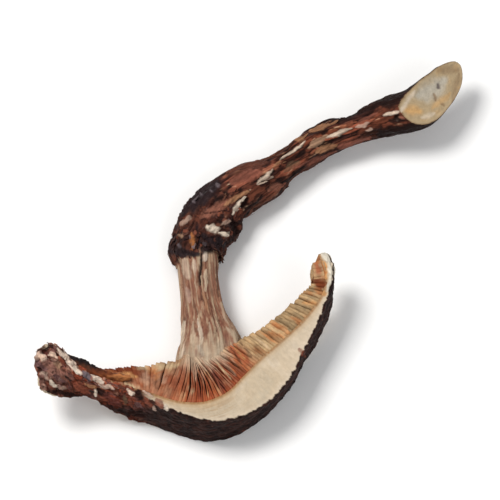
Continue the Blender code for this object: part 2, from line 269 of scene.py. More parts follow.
# Marks that the photograph shows, each a short stroke: its two ends and half its width in pixels of the
# photograph, its colour, how strongly it covers, and how far it stands up or is sunk, in millimetres.
STEM_MARKS = (
    (206.6, 131, 208, 138, 2.4, "flesh_bright", 0.36, 0.1),
    (211.2, 130, 211.4, 137, 1.5, "flesh_bright", 0.45, 0.1),
    (209.3, 131, 209.6, 141, 0.45, "stem_brown", 0.6, -0.08),
    (206, 138.6, 207.4, 142, 1.1, "stem_brown", 0.75, -0.08),
    (212.2, 137, 212, 146, 0.6, "stem_cream", 0.5, 0.05),
    # A split, sunk into the stem and painted black; the black is partly painted shade in it.
    (214.6, 127, 213.8, 142, 0.95, "bark_black", 0.95, -0.45),
    (213.7, 142, 215.6, 152, 0.5, "stem_dark", 0.8, -0.2),
    (216.2, 126.5, 216.4, 130, 1, "white_bit", 0.8, 0.1),
    (219.6, 131, 220, 147, 1.8, "stem_red", 0.5, 0),
    (216.5, 135, 216.9, 145, 0.9, "stem_cream", 0.75, 0.08),
    (218.2, 130, 218.5, 137, 0.6, "stem_pale", 0.6, 0.05),
    (222, 130, 222.8, 148, 0.7, "stem_dark", 0.7, -0.1),
    (207.6, 143.5, 209, 151, 1.5, "skin_pale", 0.5, 0),
    (206.8, 153, 208.4, 158.6, 0.8, "stem_red", 0.65, -0.1),
    (210.8, 149, 213, 157, 0.45, "stem_dark", 0.6, -0.12),
    (215.6, 146, 218.4, 155, 1.2, "kink_tan", 0.5, 0),
    (216.8, 147, 219.6, 157, 0.4, "stem_dark", 0.7, -0.12),
    (213.2, 159, 214.6, 171, 0.85, "flesh_bright", 0.7, 0.1),
    (206, 160, 204.6, 177, 1.4, "flesh_bright", 0.6, 0.05),
    (208.8, 160, 208.4, 172, 0.5, "stem_red", 0.5, -0.08),
    (210.8, 160, 210.4, 177, 0.9, "stem_cream", 0.6, 0.05),
    (216, 157, 217.6, 168, 0.5, "stem_red", 0.6, -0.1),
    (221, 157, 223.4, 167, 0.5, "stem_red", 0.55, -0.1),
    (218.6, 160, 220.4, 172, 0.7, "stem_cream", 0.55, 0.05),
    (223.5, 151, 229, 164, 0.7, "stem_cream", 0.5, 0.05),
    (226.5, 163, 233.5, 168.5, 1.2, "stem_cream", 0.7, 0.05),
    (211.5, 169, 217.5, 175, 3, "stem_cream", 0.55, 0),
    (213.6, 172, 215.6, 176, 1.6, "butt_grey", 0.4, 0),
    (200, 125.6, 213, 127.4, 2.3, "ring_black", 0.95, 0.15),
    (215.5, 125, 223.5, 121, 3, "ring_black", 0.9, 0.05),
    (203, 108, 199.5, 124, 2.4, "ring_black", 0.75, 0.1),
    (205.8, 112.4, 208.6, 109.6, 1.6, "skin_pale", 0.65, 0.12),
    (205, 118, 205.6, 118.4, 1, "bark_tan", 0.7, 0.1),
    # A grey speck here is a painted highlight.
    (203.6, 123, 204, 123.6, 0.9, "ring_grey_and_painted_highlight", 0.8, 0.1),
    (210, 118, 210.6, 123.5, 1.3, "orange", 0.7, 0.1),
    (212.6, 112, 213, 124, 1.1, "ring_black", 0.85, -0.25),
    (206.5, 103, 222.5, 91.5, 5.2, "bark_dark", 0.94, 0.1),
    (207, 106, 222, 92.5, 4, "ring_black", 0.9, 0),
    # Grey specks on the black lumps at the kink are painted highlights.
    (222.5, 93.5, 222.9, 93.8, 0.9, "ring_grey_and_painted_highlight", 0.8, 0.3),
    (215, 98.5, 215.4, 98.9, 0.8, "ring_grey_and_painted_highlight", 0.6, 0.3),
    (211, 102, 211.5, 102.5, 0.7, "ring_grey_and_painted_highlight", 0.6, 0.3),
    (219.6, 96.4, 220, 96.8, 0.6, "ring_grey_and_painted_highlight", 0.6, 0.2),
    (226.3, 97.2, 226.8, 97.6, 1, "bark_black", 0.9, -0.15),
    (228, 87, 246, 82, 3.2, "bark", 0.7, 0.05),
    (229, 92, 243, 87, 3, "bark_red", 0.75, 0),
    (214.5, 109, 229, 101, 2.6, "kink_red", 0.8, 0.05),
    (225.5, 103, 237, 96, 1.3, "kink_tan", 0.8, 0.12),
    (216, 107.2, 227, 105.4, 0.6, "bark_dark", 0.7, -0.15),
    (217.8, 114.2, 221.8, 115, 2, "white_bit", 1, 0.25),
    (223.6, 116.8, 227.2, 118, 1.2, "white_bit", 0.95, 0.2),
    (224, 112.6, 228.4, 111.2, 0.8, "skin_pale", 0.55, 0.1),
    (229.6, 107.6, 233.6, 100.4, 1, "white_bit", 1, 0.3),
    (215, 117.8, 227, 123, 2.6, "ring_black", 0.95, -0.2),
    (234, 104, 237.3, 100, 1.5, "bark_black", 1, -0.5),
    (229.4, 109.5, 232.3, 118.5, 2.1, "bark_black", 1, -0.3),
    (241.8, 93, 249.4, 85.4, 0.95, "bark_pale", 0.95, 0.2),
    (244, 93, 247, 91.2, 1.5, "bark_dark", 0.9, -0.2),
    (247.5, 95.5, 253, 92.4, 1.8, "kink_red", 0.8, 0.1),
    (253.6, 96.6, 254, 96.2, 1.1, "bark_black", 0.9, 0),
    (253.6, 80.8, 265.5, 71.4, 0.7, "bark_pale", 0.95, 0.2),
    (250, 84.5, 254, 81, 0.7, "kink_tan", 0.8, 0.1),
    (255.5, 85.8, 262.5, 81.6, 1.8, "bark_olive", 0.6, -0.05),
    (262.6, 78.4, 265, 76.6, 1.7, "bark_black", 0.95, -0.2),
    (267.6, 74.6, 276, 69, 1.8, "bark_tan", 0.85, 0.1),
    (266.2, 74, 267.2, 73.2, 0.9, "bark_black", 0.9, -0.15),
    (271, 76.2, 281, 73.2, 1.4, "kink_tan", 0.75, 0.05),
    (260, 84.2, 281, 76.4, 1.2, "bark_red", 0.6, 0),
    (276.6, 69.6, 288.6, 65.1, 1, "bark_pale", 1, 0.25),
    (279, 71.6, 288, 68, 0.8, "bark_dark", 0.8, -0.2),
    (282, 74.2, 298, 69.4, 1.9, "bark_red", 0.75, 0),
    (273.6, 67.8, 276.6, 65.8, 1.1, "bark_black", 0.9, -0.15),
    (268.6, 66.8, 277.6, 62.9, 1.3, "kink_tan", 0.75, 0.1),
    (261.4, 71.4, 264.6, 70.2, 1.2, "kink_tan", 0.7, 0.1),
    (283, 63, 306, 51, 2.6, "bark_dark", 0.75, 0),
    (292, 62.4, 301, 57.6, 1.2, "bark_red", 0.6, 0.05),
    (295.4, 65.7, 299.4, 65.1, 0.75, "skin_pale", 0.9, 0.12),
    (304.6, 58.4, 311.6, 56.4, 1, "bark_pale", 1, 0.2),
    (309.8, 59.4, 311.4, 58.6, 1.2, "bark_black", 1, -0.3),
    (310.6, 61, 311, 61.2, 0.6, "skin_pale", 0.8, 0.1),
    (300, 53.8, 313.6, 48.6, 2.4, "bark_black", 0.9, 0),
    (302, 67.4, 332, 62, 3.2, "bark_black", 0.95, 0),
    (280, 61.6, 300, 54.4, 1.6, "bark_black", 0.85, 0),
    (304, 54.6, 312.6, 51.6, 1.8, "bark_black", 0.85, 0),
    (307.4, 61.4, 313.6, 61, 1.6, "bark_black", 0.9, 0),
    (312, 59.4, 314, 60, 0.9, "kink_red", 0.7, 0),
    (290.6, 64.6, 297.4, 62.6, 0.7, "skin_pale", 0.7, 0.1),
)
BUTT_MARKS = (
    (321.5, 49, 334.5, 41, 3.9, "butt_grey", 1, -0.1),
    (326, 49.5, 332, 46, 3.6, "butt_grey", 0.8, -0.05),
    (315.6, 55.6, 322, 56.8, 2.4, "butt_orange", 0.95, -0.02),
    (312.6, 56.6, 319.6, 46.6, 1.3, "flesh_bright", 0.85, 0.02),
    (328, 55, 337, 47.6, 1.8, "butt_orange", 0.6, -0.02),
    (323, 59.6, 329, 58, 1.3, "flesh_bright", 0.6, 0.03),
    (332, 35.6, 341, 36, 2.4, "butt_rim_edge", 0.5, 0),
    (342, 38, 339, 52, 1.8, "butt_rim_edge", 0.5, 0),
    (331.6, 42.6, 332, 44.6, 1, "butt_spot", 1, -0.14),
    (329.6, 48, 330.2, 50.8, 0.9, "butt_rim_edge", 0.8, -0.06),
    (333.6, 52.6, 334.4, 53.4, 0.7, "butt_rim_edge", 0.7, -0.04),
)
CAP_MARKS = (
    (139, 180, 146, 187, 4.2, "lobe", 0.75, 0),
    (148, 184, 151.4, 187, 2, "lobe", 0.6, 0),
    (134.8, 179.6, 137.6, 183.4, 1.6, "skin_purple", 0.9, -0.1),
    (138.8, 173.4, 141.2, 179, 1.2, "maroon", 0.8, -0.15),
    (135, 182.4, 136.4, 184, 0.8, "skin_black", 0.8, -0.1),
    (143.4, 186.4, 147.6, 189.4, 1.5, "skin_purple", 0.85, -0.1),
    (144.4, 173, 150.4, 180, 0.85, "bloom", 1, 0.1),
    (148.4, 177.6, 155.8, 185.2, 1.2, "bloom", 1, 0.1),
    (152.6, 182.2, 155, 184.8, 0.7, "crust", 0.9, 0.05),
    (157.2, 184.8, 160.6, 188.2, 1.5, "ring_grey_and_painted_highlight", 0.95, 0),
    (161.4, 186, 167, 190, 1, "bloom", 1, 0.08),
    (165, 190.4, 172.4, 192.8, 0.55, "skin_pale", 1, 0.1),
    (164.2, 192.8, 167.4, 195.2, 1.7, "skin_black", 0.9, -0.1),
    (168, 195.6, 174, 199.4, 2.4, "maroon", 0.85, 0),
    (174.6, 191.8, 176.2, 193.2, 1, "skin_brown", 0.9, 0.1),
    (178.6, 193.2, 182.2, 194.8, 0.9, "bloom", 0.95, 0.08),
    (183.6, 194.4, 184.6, 196.6, 1.9, "skin_black", 0.95, -0.1),
    (186.4, 193.7, 191.2, 196.4, 0.95, "skin_pale", 0.95, 0.1),
    (187.2, 197.8, 189.6, 200.4, 1.4, "skin_red", 0.9, 0.05),
    (177.2, 196, 178, 199.6, 1.1, "bark_olive", 0.8, 0),
    (180, 196.6, 180.8, 201, 1.1, "skin_red", 0.8, 0),
    (191.4, 201, 192.2, 202.6, 0.8, "skin_pale", 0.9, 0.15),
    (144.2, 180.4, 145.4, 181.8, 2, "bark_tan", 0.8, 0.05),
    (142.4, 175.6, 143.8, 177, 1.1, "blush", 1, 0.12),
    (146.8, 183, 148.8, 184.4, 0.8, "skin_brown", 0.8, -0.1),
    (146.8, 186.8, 148.4, 187.6, 0.9, "kink_red", 0.8, 0.1),
    (153.4, 190.4, 159, 193.6, 2.3, "skin_red", 0.95, 0),
    (158, 190.2, 164, 191.8, 0.8, "kink_tan", 0.85, 0),
    (135, 174.8, 137.6, 177, 1.9, "skin_pale", 1, 0.3),
    (136.2, 175.8, 137.2, 178.2, 1.1, "blush", 0.9, 0.05),
    (137, 184.6, 139, 187.4, 1.4, "skin_pale", 0.85, 0.2),
    (141.4, 188.6, 143.2, 191, 1.1, "white_bit", 0.95, 0.3),
    (148.6, 186.4, 151, 188.6, 0.8, "ring_black", 0.8, -0.15),
    (143.4, 191.2, 149, 192.6, 0.8, "skin_pale", 0.5, 0.1),
    (138.2, 189.6, 141, 193.4, 0.9, "maroon", 0.8, -0.1),
    (162.4, 192.8, 163, 194.6, 1, "white_bit", 0.95, 0.2),
    (140, 193.6, 158, 196.6, 1.2, "skin_black", 0.9, 0),
    (193, 198, 195.6, 201, 1.4, "kink_red", 0.85, 0.1),
    (197, 200.6, 198.4, 202.4, 0.9, "white_bit", 0.9, 0.15),
    (199.4, 202.4, 200.8, 203.6, 0.9, "skin_black", 0.9, 0),
    (180, 202.6, 194, 208, 2, "skin_black", 0.85, 0),
    (168.6, 200, 176, 203.6, 1.3, "skin_black", 0.8, 0),
    (183, 199.4, 186, 201.4, 0.9, "skin_purple", 0.9, 0.1),
    (274.2, 131, 275.2, 138.5, 1.7, "orange_light", 1, -0.1),
    (271, 127.6, 272, 130.6, 1.3, "orange", 0.9, -0.1),
    (272.4, 140.2, 274.6, 141.6, 1.5, "rust", 1, -0.3),
    (272.6, 144.4, 274.6, 146.4, 1.5, "orange_light", 0.9, 0),
    (270.6, 131.6, 275, 136.4, 2, "orange", 0.9, 0),
    (272.6, 125.6, 277.4, 130.6, 1.5, "crust", 1, 0.2),
    (277, 131.4, 278, 137, 1.2, "crust", 1, 0.2),
    (278, 137, 276.6, 145, 1, "crust", 1, 0.15),
    (262.6, 173.4, 265.4, 177, 1.2, "skin_red", 0.7, 0.1),
)
GILL_MARKS = (
    (270.6, 128, 272.6, 137.6, 3, "kink_tan", 0.75, 0),
    (269.4, 126.6, 271, 131, 1.7, "orange", 0.9, 0),
    (271, 132, 272.4, 136.6, 1.5, "ember", 0.7, 0),
    (270.2, 140.6, 274, 142.4, 2.3, "rust", 1, 0),
    (192.4, 186.4, 193.4, 191, 0.9, "gill_dark", 0.75, 0),
    (270.6, 144, 273.6, 146, 1.5, "orange", 0.8, 0),
    (264.4, 150, 271, 151.6, 1.3, "orange_light", 0.75, 0),
    (258.4, 158.4, 264, 159.6, 1.1, "orange", 0.65, 0),
    (249.6, 161, 257, 163.4, 1.1, "orange", 0.7, 0),
    (247.4, 165, 255.4, 167.4, 1.1, "orange", 0.65, 0),
    (236.4, 168, 240.6, 175.4, 1.6, "gill_tan", 0.6, 0),
    (230.4, 172.6, 235.6, 179.6, 3.6, "ember", 0.85, 0),
    (226.8, 172.5, 231.8, 182, 0.5, "gill_pink", 0.6, 0.03),
    (230.2, 170.6, 235.8, 179.4, 0.5, "gill_gold", 0.7, 0.03),
    (228.6, 171.6, 234, 181, 0.4, "gill_dark", 0.8, -0.15),
    (231.6, 170.2, 237.2, 178.4, 0.35, "gill_brown", 0.8, -0.1),
    (233.6, 169.2, 238.8, 176.6, 0.35, "gill_dark", 0.65, -0.1),
    (223.8, 177.6, 231.2, 185.8, 1.1, "gill_pink", 0.9, 0),
    (221.8, 179.8, 229, 187.6, 0.6, "gill_cream", 0.8, 0),
    (209, 190.4, 210.6, 195, 0.8, "gill_cream", 0.6, 0),
    (196, 188, 206, 191, 3.2, "gill_red", 0.75, 0),
    (204, 196.6, 214, 197.6, 1.5, "ember", 0.6, 0),
    (214, 197.6, 224, 194.6, 1.5, "ember", 0.6, 0),
    (220.6, 184, 225, 192.4, 2, "maroon", 0.75, 0),
    (213.5, 182, 213.8, 189.6, 0.7, "gill_dark", 0.9, 0),
    (217.3, 183, 217.6, 190.4, 0.8, "gill_dark", 0.9, 0),
    (215.4, 179.4, 215.7, 190.4, 0.7, "gill_pink", 0.9, 0),
    (211.6, 180.6, 211.9, 189.4, 0.7, "gill_pink", 0.8, 0),
    (219.6, 180, 219.9, 189, 0.6, "gill_pink", 0.8, 0),
    (205, 183, 207, 194, 3, "gill_red", 0.7, 0),
    (215, 189, 224, 190, 3.6, "gill_red", 0.5, 0),
    (184, 182.6, 203, 181, 2, "gill_cream", 0.75, 0),
    (177.6, 190, 182.6, 192.4, 1.5, "gill_cream", 0.9, 0),
    (198.6, 187, 203, 193, 2.2, "gill_red", 0.6, 0),
    (195, 186.4, 196, 189.6, 1.5, "gill_pink", 0.7, 0),
    (189, 182, 191.6, 184, 1.8, "orange", 0.7, 0),
    (192, 183, 194, 188, 1.4, "orange", 0.6, 0),
    (186.8, 185.4, 188.4, 190, 2, "gill_pink", 0.85, 0),
    (175, 185.6, 182, 186.4, 1.3, "orange_light", 0.8, 0),
    (169.6, 186.2, 172.6, 188, 1.4, "ember", 0.8, 0),
    (148, 174.6, 162, 181.6, 2.4, "gill_dark", 0.8, 0),
    (164, 184.6, 176, 186.6, 1.6, "orange", 0.7, 0),
)

# Relief of the stem that the solid has too. Places along it are shares of its length, sides are degrees.
RING_AT = 0.33
RING_SHARPNESS = 160
FLUTE_COUNT = 7
FLUTE_DEPTH = 0.07
FLUTE_WANDER = 2.5
BARK_LUMPS = ((9.9, 3, 0.0375), (7.5, -4, 0.0375), (13.2, 5, 0.03))
CREASE_AT = 0.455
CREASE_LENGTH = 0.012
CREASE_SIDE = 315
CREASE_DEPTH = 0.3
FLAP_AT = 0.715
FLAP_LENGTH = 0.022
FLAP_SIDE = 150
FLAP_HEIGHT = 0.22

# The knife's cut takes nothing before this share of the stem.
BUTT_FROM = 0.8

# The gill leaves: how many, the shares of the cap where the first, the middle and the last one stand, how
# much they crowd in the middle, how far they fan out in degrees, how soon, and the points of each.
GILL_COUNT = 122
GILL_SHARES = (0.035, 0.48, 0.975)
GILL_CROWDING = 0.2
GILL_TURN = 22
GILL_TURN_QUICKNESS = 4
GILL_LEVELS = 13
GILL_DEPTHS = 20
BLADE_ROWS = 90
BLADE_COLUMNS = 28

# Where along the cap the torn end, the crumbled skin and the bare tip lie, as shares of its length.
TORN_END = 0.13
CRUMBLED = (0.355, 0.285)
BARE_TIP = (0.93, 0.95)
RIM_SOFTNESS = 0.3

# The cap's rings go round its front cut, its skin, its back cut and its gill side, with so many points each.
FRONT, SKIN, BACK, GILL_SIDE = range(4)
CAP_SIDES = (50, 62, 22, 26)
CAP_ROWS = 460
STEM_ROWS = 560
STEM_COLUMNS = 168


def unit(vectors):
    return vectors / np.maximum(np.linalg.norm(vectors, axis=-1, keepdims=True), TINY)


def field(*parts):
    """Vectors from their parts, stretched to one common shape."""
    return np.stack(np.broadcast_arrays(*parts), -1)


class Track:
    """A smooth curve through stations, read by shares of its length, with the fields that go with it."""

    SAMPLES = 600

    def __init__(self, fields, stations):
        self.fields = fields
        self.table = np.array(stations, float)
        self.numbers = np.linspace(0, len(stations) - 1, self.SAMPLES + 1)
        steps = np.linalg.norm(np.diff(self.read(self.numbers)[:, :3], axis=0), axis=1)
        self.lengths = np.concatenate([[0], np.cumsum(steps)])
        self.length = self.lengths[-1]

    def read(self, index):
        last = len(self.table) - 1
        first = np.clip(np.floor(index).astype(int), 0, last - 1)
        t = (index - first)[..., None]
        p, q, r, s = (self.table[np.clip(first + k, 0, last)] for k in (-1, 0, 1, 2))
        cubic = (3 * q - p - 3 * r + s) * t**3
        square = (2 * p - 5 * q + 4 * r - s) * t**2
        return 0.5 * (2 * q + (r - p) * t + square + cubic)

    def values(self, share):
        wanted = np.clip(share, 0, 1) * self.length
        return self.read(np.interp(wanted, self.lengths, self.numbers))

    def at(self, share):
        return dict(zip(self.fields, np.moveaxis(self.values(share), -1, 0)))

    def point(self, share):
        return self.values(share)[..., :3]

    def tangent(self, share):
        return unit(self.point(share + TANGENT_STEP) - self.point(share - TANGENT_STEP))


class Lattice:
    """Smooth random values in space, the same on every run."""

    SIZE = 256

    def __init__(self, seed):
        chance = np.random.default_rng(seed)
        self.order = np.tile(chance.permutation(self.SIZE), 2)
        self.slopes = unit(chance.normal(size=(self.SIZE, 3)))
        self.values = chance.uniform(size=self.SIZE)

    def key(self, cell):
        x, y, z = np.moveaxis(cell & (self.SIZE - 1), -1, 0)
        return self.order[self.order[self.order[x] + y] + z]

    def at(self, points):
        cell = np.floor(points).astype(int)
        part = points - cell
        fade = part**3 * (part * (part * 6 - 15) + 10)
        total = np.zeros(points.shape[:-1])
        for corner in np.ndindex(2, 2, 2):
            slope = (self.slopes[self.key(cell + corner)] * (part - corner)).sum(-1)
            total += np.where(corner, fade, 1 - fade).prod(-1) * slope
        return total


LATTICE = Lattice(11)
SEED_STEP = 7.31
OCTAVE_STEP = 19.7
PLATE_STEP = 13.7
PLATE_JITTER = 0.45
FAR = 9.0


def grain(points, size, seed, octaves=3):
    """Layered noise from about -1 to 1. Size is that of its features in millimetres, also one a direction."""
    scaled = points / np.array(size, float)
    total = np.zeros(points.shape[:-1])
    for k in range(octaves):
        total += LATTICE.at(scaled * 2**k + seed * SEED_STEP + k * OCTAVE_STEP) / 2**k
    return total * 1.25


def ridges(points, size, seed, octaves=2):
    """Noise with sharp crests at 1 and broad valleys down to about -1."""
    return 1 - 3 * np.abs(grain(points, size, seed, octaves))


def plates(points, size, seed):
    """Splits space into plates of that size: a random value for each, and 0 at its border rising inward."""
    scaled = points / np.array(size, float) + seed * PLATE_STEP
    base = np.floor(scaled).astype(int)
    nearest = np.full(points.shape[:-1], FAR)
    second = nearest
    value = np.zeros(points.shape[:-1])
    for corner in np.ndindex(3, 3, 3):
        cell = base + corner - 1
        key = LATTICE.key(cell)
        away = np.linalg.norm(cell + 0.5 + PLATE_JITTER * LATTICE.slopes[key] - scaled, axis=-1)
        closer = away < nearest
        second = np.where(closer, nearest, np.minimum(second, away))
        value = np.where(closer, LATTICE.values[key], value)
        nearest = np.where(closer, away, nearest)
    return value, second - nearest


def ramp(value, low, high):
    """0 at low, 1 at high and smooth between them. Low may be the larger."""
    t = np.clip((value - low) / (high - low), 0, 1)
    return t * t * (3 - 2 * t)


def mix(one, two, share):
    return one + (np.asarray(two) - one) * np.clip(share, 0, 1)[..., None]


def colour(name):
    return np.array(COLOURS[name])


def coats(paint, *layers):
    """Lays colours over a paint, one after another. Each layer is a colour's name and how much it covers."""
    for name, share in layers:
        paint = mix(paint, colour(name), share)
    return paint


def pick(value, names):
    """One of several colours by a random value from 0 to 1."""
    table = np.array([COLOURS[name] for name in names])
    return table[np.clip((value * len(names)).astype(int), 0, len(names) - 1)]


CAP = Track(CAP_FIELDS, CAP_STATIONS)
STEM = Track(STEM_FIELDS, STEM_STATIONS)
BLADE = Track(BLADE_FIELDS, BLADE_STATIONS)


def photo_place(points):
    """Where points in millimetres lie in the photograph, in its pixels."""
    rise = (points[..., 1] - PHOTO_Y) * math.sin(VIEW_LIFT) + points[..., 2] * math.cos(VIEW_LIFT)
    return PHOTO_MIDDLE[0] + points[..., 0] / PHOTO_PIXEL, PHOTO_MIDDLE[1] - rise / PHOTO_PIXEL


def grid_normals(grid):
    """The outward direction at each point of a closed grid of rings."""
    along = np.gradient(grid, axis=0)
    around = np.roll(grid, -1, 1) - np.roll(grid, 1, 1)
    normals = unit(np.cross(around, along))
    outward = grid - grid.mean(axis=1, keepdims=True)
    return normals if (normals * outward).sum() > 0 else -normals


def faces_camera(normals):
    return ramp(normals @ (0, -math.cos(VIEW_LIFT), math.sin(VIEW_LIFT)), 0.02, 0.3)


def draw_marks(grid, flow, facing, paint, marks, fibre, torn=1):
    """Draws frayed strokes on what faces the camera. Returns the new colours and how far the surface rises.

    Fibre is the size in millimetres of the threads that fray the strokes, along the flow and across it.
    Torn strokes have ragged sharp edges; with 0 they fade softly.
    """
    across, down = photo_place(grid)
    across = across + 0.9 * grain(grid, 1.7, 92)
    down = down + 0.9 * grain(grid, 1.7, 93)
    threads = (fibre[0], fibre[1], fibre[1])
    fray = 0.42 * grain(flow, threads, 91) + 0.25 * grain(grid, 0.45, 94, 2)
    fray = fray * (0.4 + 0.6 * torn)
    tone = 1 + (0.15 + 0.3 * torn) * grain(flow, threads, 95)
    lift = np.zeros(across.shape)
    for x0, y0, x1, y1, half, name, strength, rise in marks:
        run = (x1 - x0, y1 - y0)
        length = math.hypot(*run)
        share = ((across - x0) * run[0] + (down - y0) * run[1]) / max(length**2, 0.01)
        share = np.clip(share, 0, 1)
        slim = 1 - 0.55 * min(1, length / (5 * half)) * (2 * share - 1) ** 2
        away = np.hypot(across - x0 - share * run[0], down - y0 - share * run[1]) / (half * slim)
        cover = ramp(away + fray, 1.6 - 0.35 * torn, 0.1 + 0.45 * torn) * facing
        paint = mix(paint, colour(name) * tone[..., None], cover * strength)
        lift += cover * rise * tone
    return paint, lift


def soften(grid, passes):
    """Rounds the corners of closed rings a little."""
    for _ in range(passes):
        grid = (np.roll(grid, 1, 1) + 2 * grid + np.roll(grid, -1, 1)) / 4
    return grid


def loft_faces(rows, columns):
    """The faces of one closed loft. Each end is folded shut from one side of its ring to the other."""
    row = np.arange(rows - 1)[:, None] * columns
    column = np.arange(columns)[None, :]
    here = row + column
    there = row + (column + 1) % columns
    skin = np.stack([here, there, there + columns, here + columns], -1).reshape(-1, 4)
    k = np.arange(columns // 2 - 1)
    first = np.stack([k, columns - 1 - k, columns - 2 - k, k + 1], -1)
    final = (rows - 1) * columns + np.stack([k, k + 1, columns - 2 - k, columns - 1 - k], -1)
    return np.concatenate([skin, first, final])


def signed_volume(points, faces):
    a, b, c, d = (points[faces[:, i]] for i in range(4))
    return (np.cross(b - a, c - a) * a).sum() + (np.cross(c - a, d - a) * a).sum()


def within_height(points):
    """Flattens what would pass the table or the top of the solids' box."""
    high = points[..., 2]
    flattened = TOP_SOFT + TOP_GIVE * np.tanh((high - TOP_SOFT) / TOP_GIVE)
    points[..., 2] = np.maximum(np.where(high > TOP_SOFT, flattened, high), 0)
    return points


def build_piece(name, grids, paints, flows, finishes, face_kinds=None):
    """One object from a closed loft, or from many of equal size: grids is (lofts, rows, columns, 3)."""
    rows, columns = grids.shape[-3:-1]
    step = rows * columns
    points = within_height(grids.reshape(-1, 3).copy())
    lofts = len(points) // step
    faces = loft_faces(rows, columns)
    if signed_volume(points[:step], faces) < 0:
        faces = faces[:, ::-1]
    every = (faces[None] + (np.arange(lofts) * step)[:, None, None]).reshape(-1, 4)
    mesh = bpy.data.meshes.new(name)
    mesh.from_pydata((points * MM).tolist(), [], every.tolist())
    layer = mesh.color_attributes.new(name="paint", type="FLOAT_COLOR", domain="POINT")
    tint = np.clip(paints.reshape(-1, 3), 0.002, 0.95)
    layer.data.foreach_set("color", np.concatenate([tint, np.ones((len(tint), 1))], 1).ravel())
    stream = mesh.attributes.new(name="flow", type="FLOAT_VECTOR", domain="POINT")
    stream.data.foreach_set("vector", flows.ravel())
    for finish in finishes:
        mesh.materials.append(finish)
    if face_kinds is not None:
        mesh.polygons.foreach_set("material_index", face_kinds.astype(np.int32))
    mesh.shade_smooth()
    mesh.validate()
    piece = bpy.data.objects.new(name, mesh)
    bpy.context.scene.collection.objects.link(piece)
    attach(piece, "root")
    return piece


def scatter(chance, rows, columns, count):
    """Random points of a grid, within ranges of rows and columns."""
    return chance.integers(*rows, size=count), chance.integers(*columns, size=count)


def build_flakes(name, grid, normals, paint, spots, runs, finish):
    """Small torn flakes. Each grows from a spot of the grid, along its run, and lifts a little off it.

    They take the paint where they grow, and some take one of their own colours instead.
    """
    seed, sizes, names = FLAKES[name]
    chance = np.random.default_rng(seed)
    count = len(runs)
    length, width, curl, thick = (chance.uniform(low, high, size=(count, 1, 1)) for low, high in sizes)
    t = np.linspace(0, 1, FLAKE_ROWS)[None, :, None]
    u = np.linspace(-1, 1, FLAKE_COLUMNS)
    u = np.concatenate([u, -u])[None, None, :]
    face = np.repeat((1, -1), FLAKE_COLUMNS)[None, None, :]
    swing = chance.uniform(-FLAKE_SWING, FLAKE_SWING, size=(count, 1))
    outs = unit(normals[spots])
    runs = unit(runs - outs * (runs * outs).sum(-1, keepdims=True))
    runs = unit(runs + np.cross(outs, runs) * swing)
    sides = np.cross(outs, runs)
    number = np.arange(count)[:, None, None] * 5.3
    seeds = field(number + 2.2 * t, number * 0.37 + 1.6 * u, number)
    wild = grain(seeds, 1, seed, 2)
    half = width * np.sqrt(np.clip(np.sin(math.pi * (0.22 + 0.74 * t)), 0, 1)) * (1 + 0.7 * wild)
    bend = curl * t**1.6 * (1 + 0.5 * wild) - 0.12 + 0.18 * wild * width * np.abs(u)
    body = thick * (1 - 0.8 * np.abs(u)) * (1 - 0.6 * t)

    def spread(vectors):
        return vectors[:, None, None]

    grids = spread(grid[spots]) + spread(runs) * (length * t * (1 + 0.2 * wild))[..., None]
    grids = grids + spread(sides) * (half * u)[..., None] + spread(outs) * (bend + face * body)[..., None]
    own = mix(paint[spots], pick(chance.uniform(size=count), names), chance.uniform(size=count) ** 2)
    own = own * chance.uniform(0.7, 1.25, size=(count, 1))
    return build_piece(name, grids, spread(own) * (1 + 0.35 * wild)[..., None], seeds, [finish])


def cap_place(share, height, depth):
    """Points of the slice: height is from the gill line towards the stem, depth back from the front cut."""
    here = CAP.at(share)
    heading = np.radians(here["heading"])
    twist = np.radians(here["twist"])[..., None]
    side = field(-np.sin(heading), np.cos(heading), 0)
    rise = np.array((0, 0, 1))
    up = side * np.cos(twist) - rise * np.sin(twist)
    front = rise * np.cos(twist) + side * np.sin(twist)
    start = field(here["x"], here["y"], here["z"])
    return start + up * height[..., None] - front * depth[..., None]


def cap_rings(share, kind, t, torn):
    """The cap's rings without relief, and their flow: along, up and back, in millimetres."""
    here = CAP.at(share)
    flesh, thick, bulge = here["flesh"], here["thick"], here["bulge"]
    run = share * CAP.length
    swell = np.maximum(bulge, 0) * (1 - (1 - t) ** 2) + np.minimum(bulge, 0) * t**1.2
    ripple = (0.12 + 0.45 * torn) * np.sin(23 * math.tau * share + 5 * t)
    ripple = ripple * np.sin(9 * math.tau * share - 7 * t)
    dish = 0.22 * np.sin(math.pi * t) * ramp(flesh, 1.4, 3)
    sides = [kind == FRONT, kind == SKIN, kind == BACK]
    height = np.select(sides, [-flesh * t, -flesh - swell - ripple, -(flesh + bulge) * (1 - t)], 0.0)
    depth = np.select(sides, [dish, thick * t, thick], thick * (1 - t))

    # The ends close over a rounded lip instead of a flat face.
    end = np.minimum(run, CAP.length - run)
    close = np.sqrt(np.clip(1 - (1 - np.clip(end / 0.9, 0.02, 1)) ** 2, 0, 1))
    height = -flesh / 2 + (height + flesh / 2) * close
    depth = thick / 2 + (depth - thick / 2) * close
    return soften(cap_place(share, height, depth), 2), field(run, height, depth)


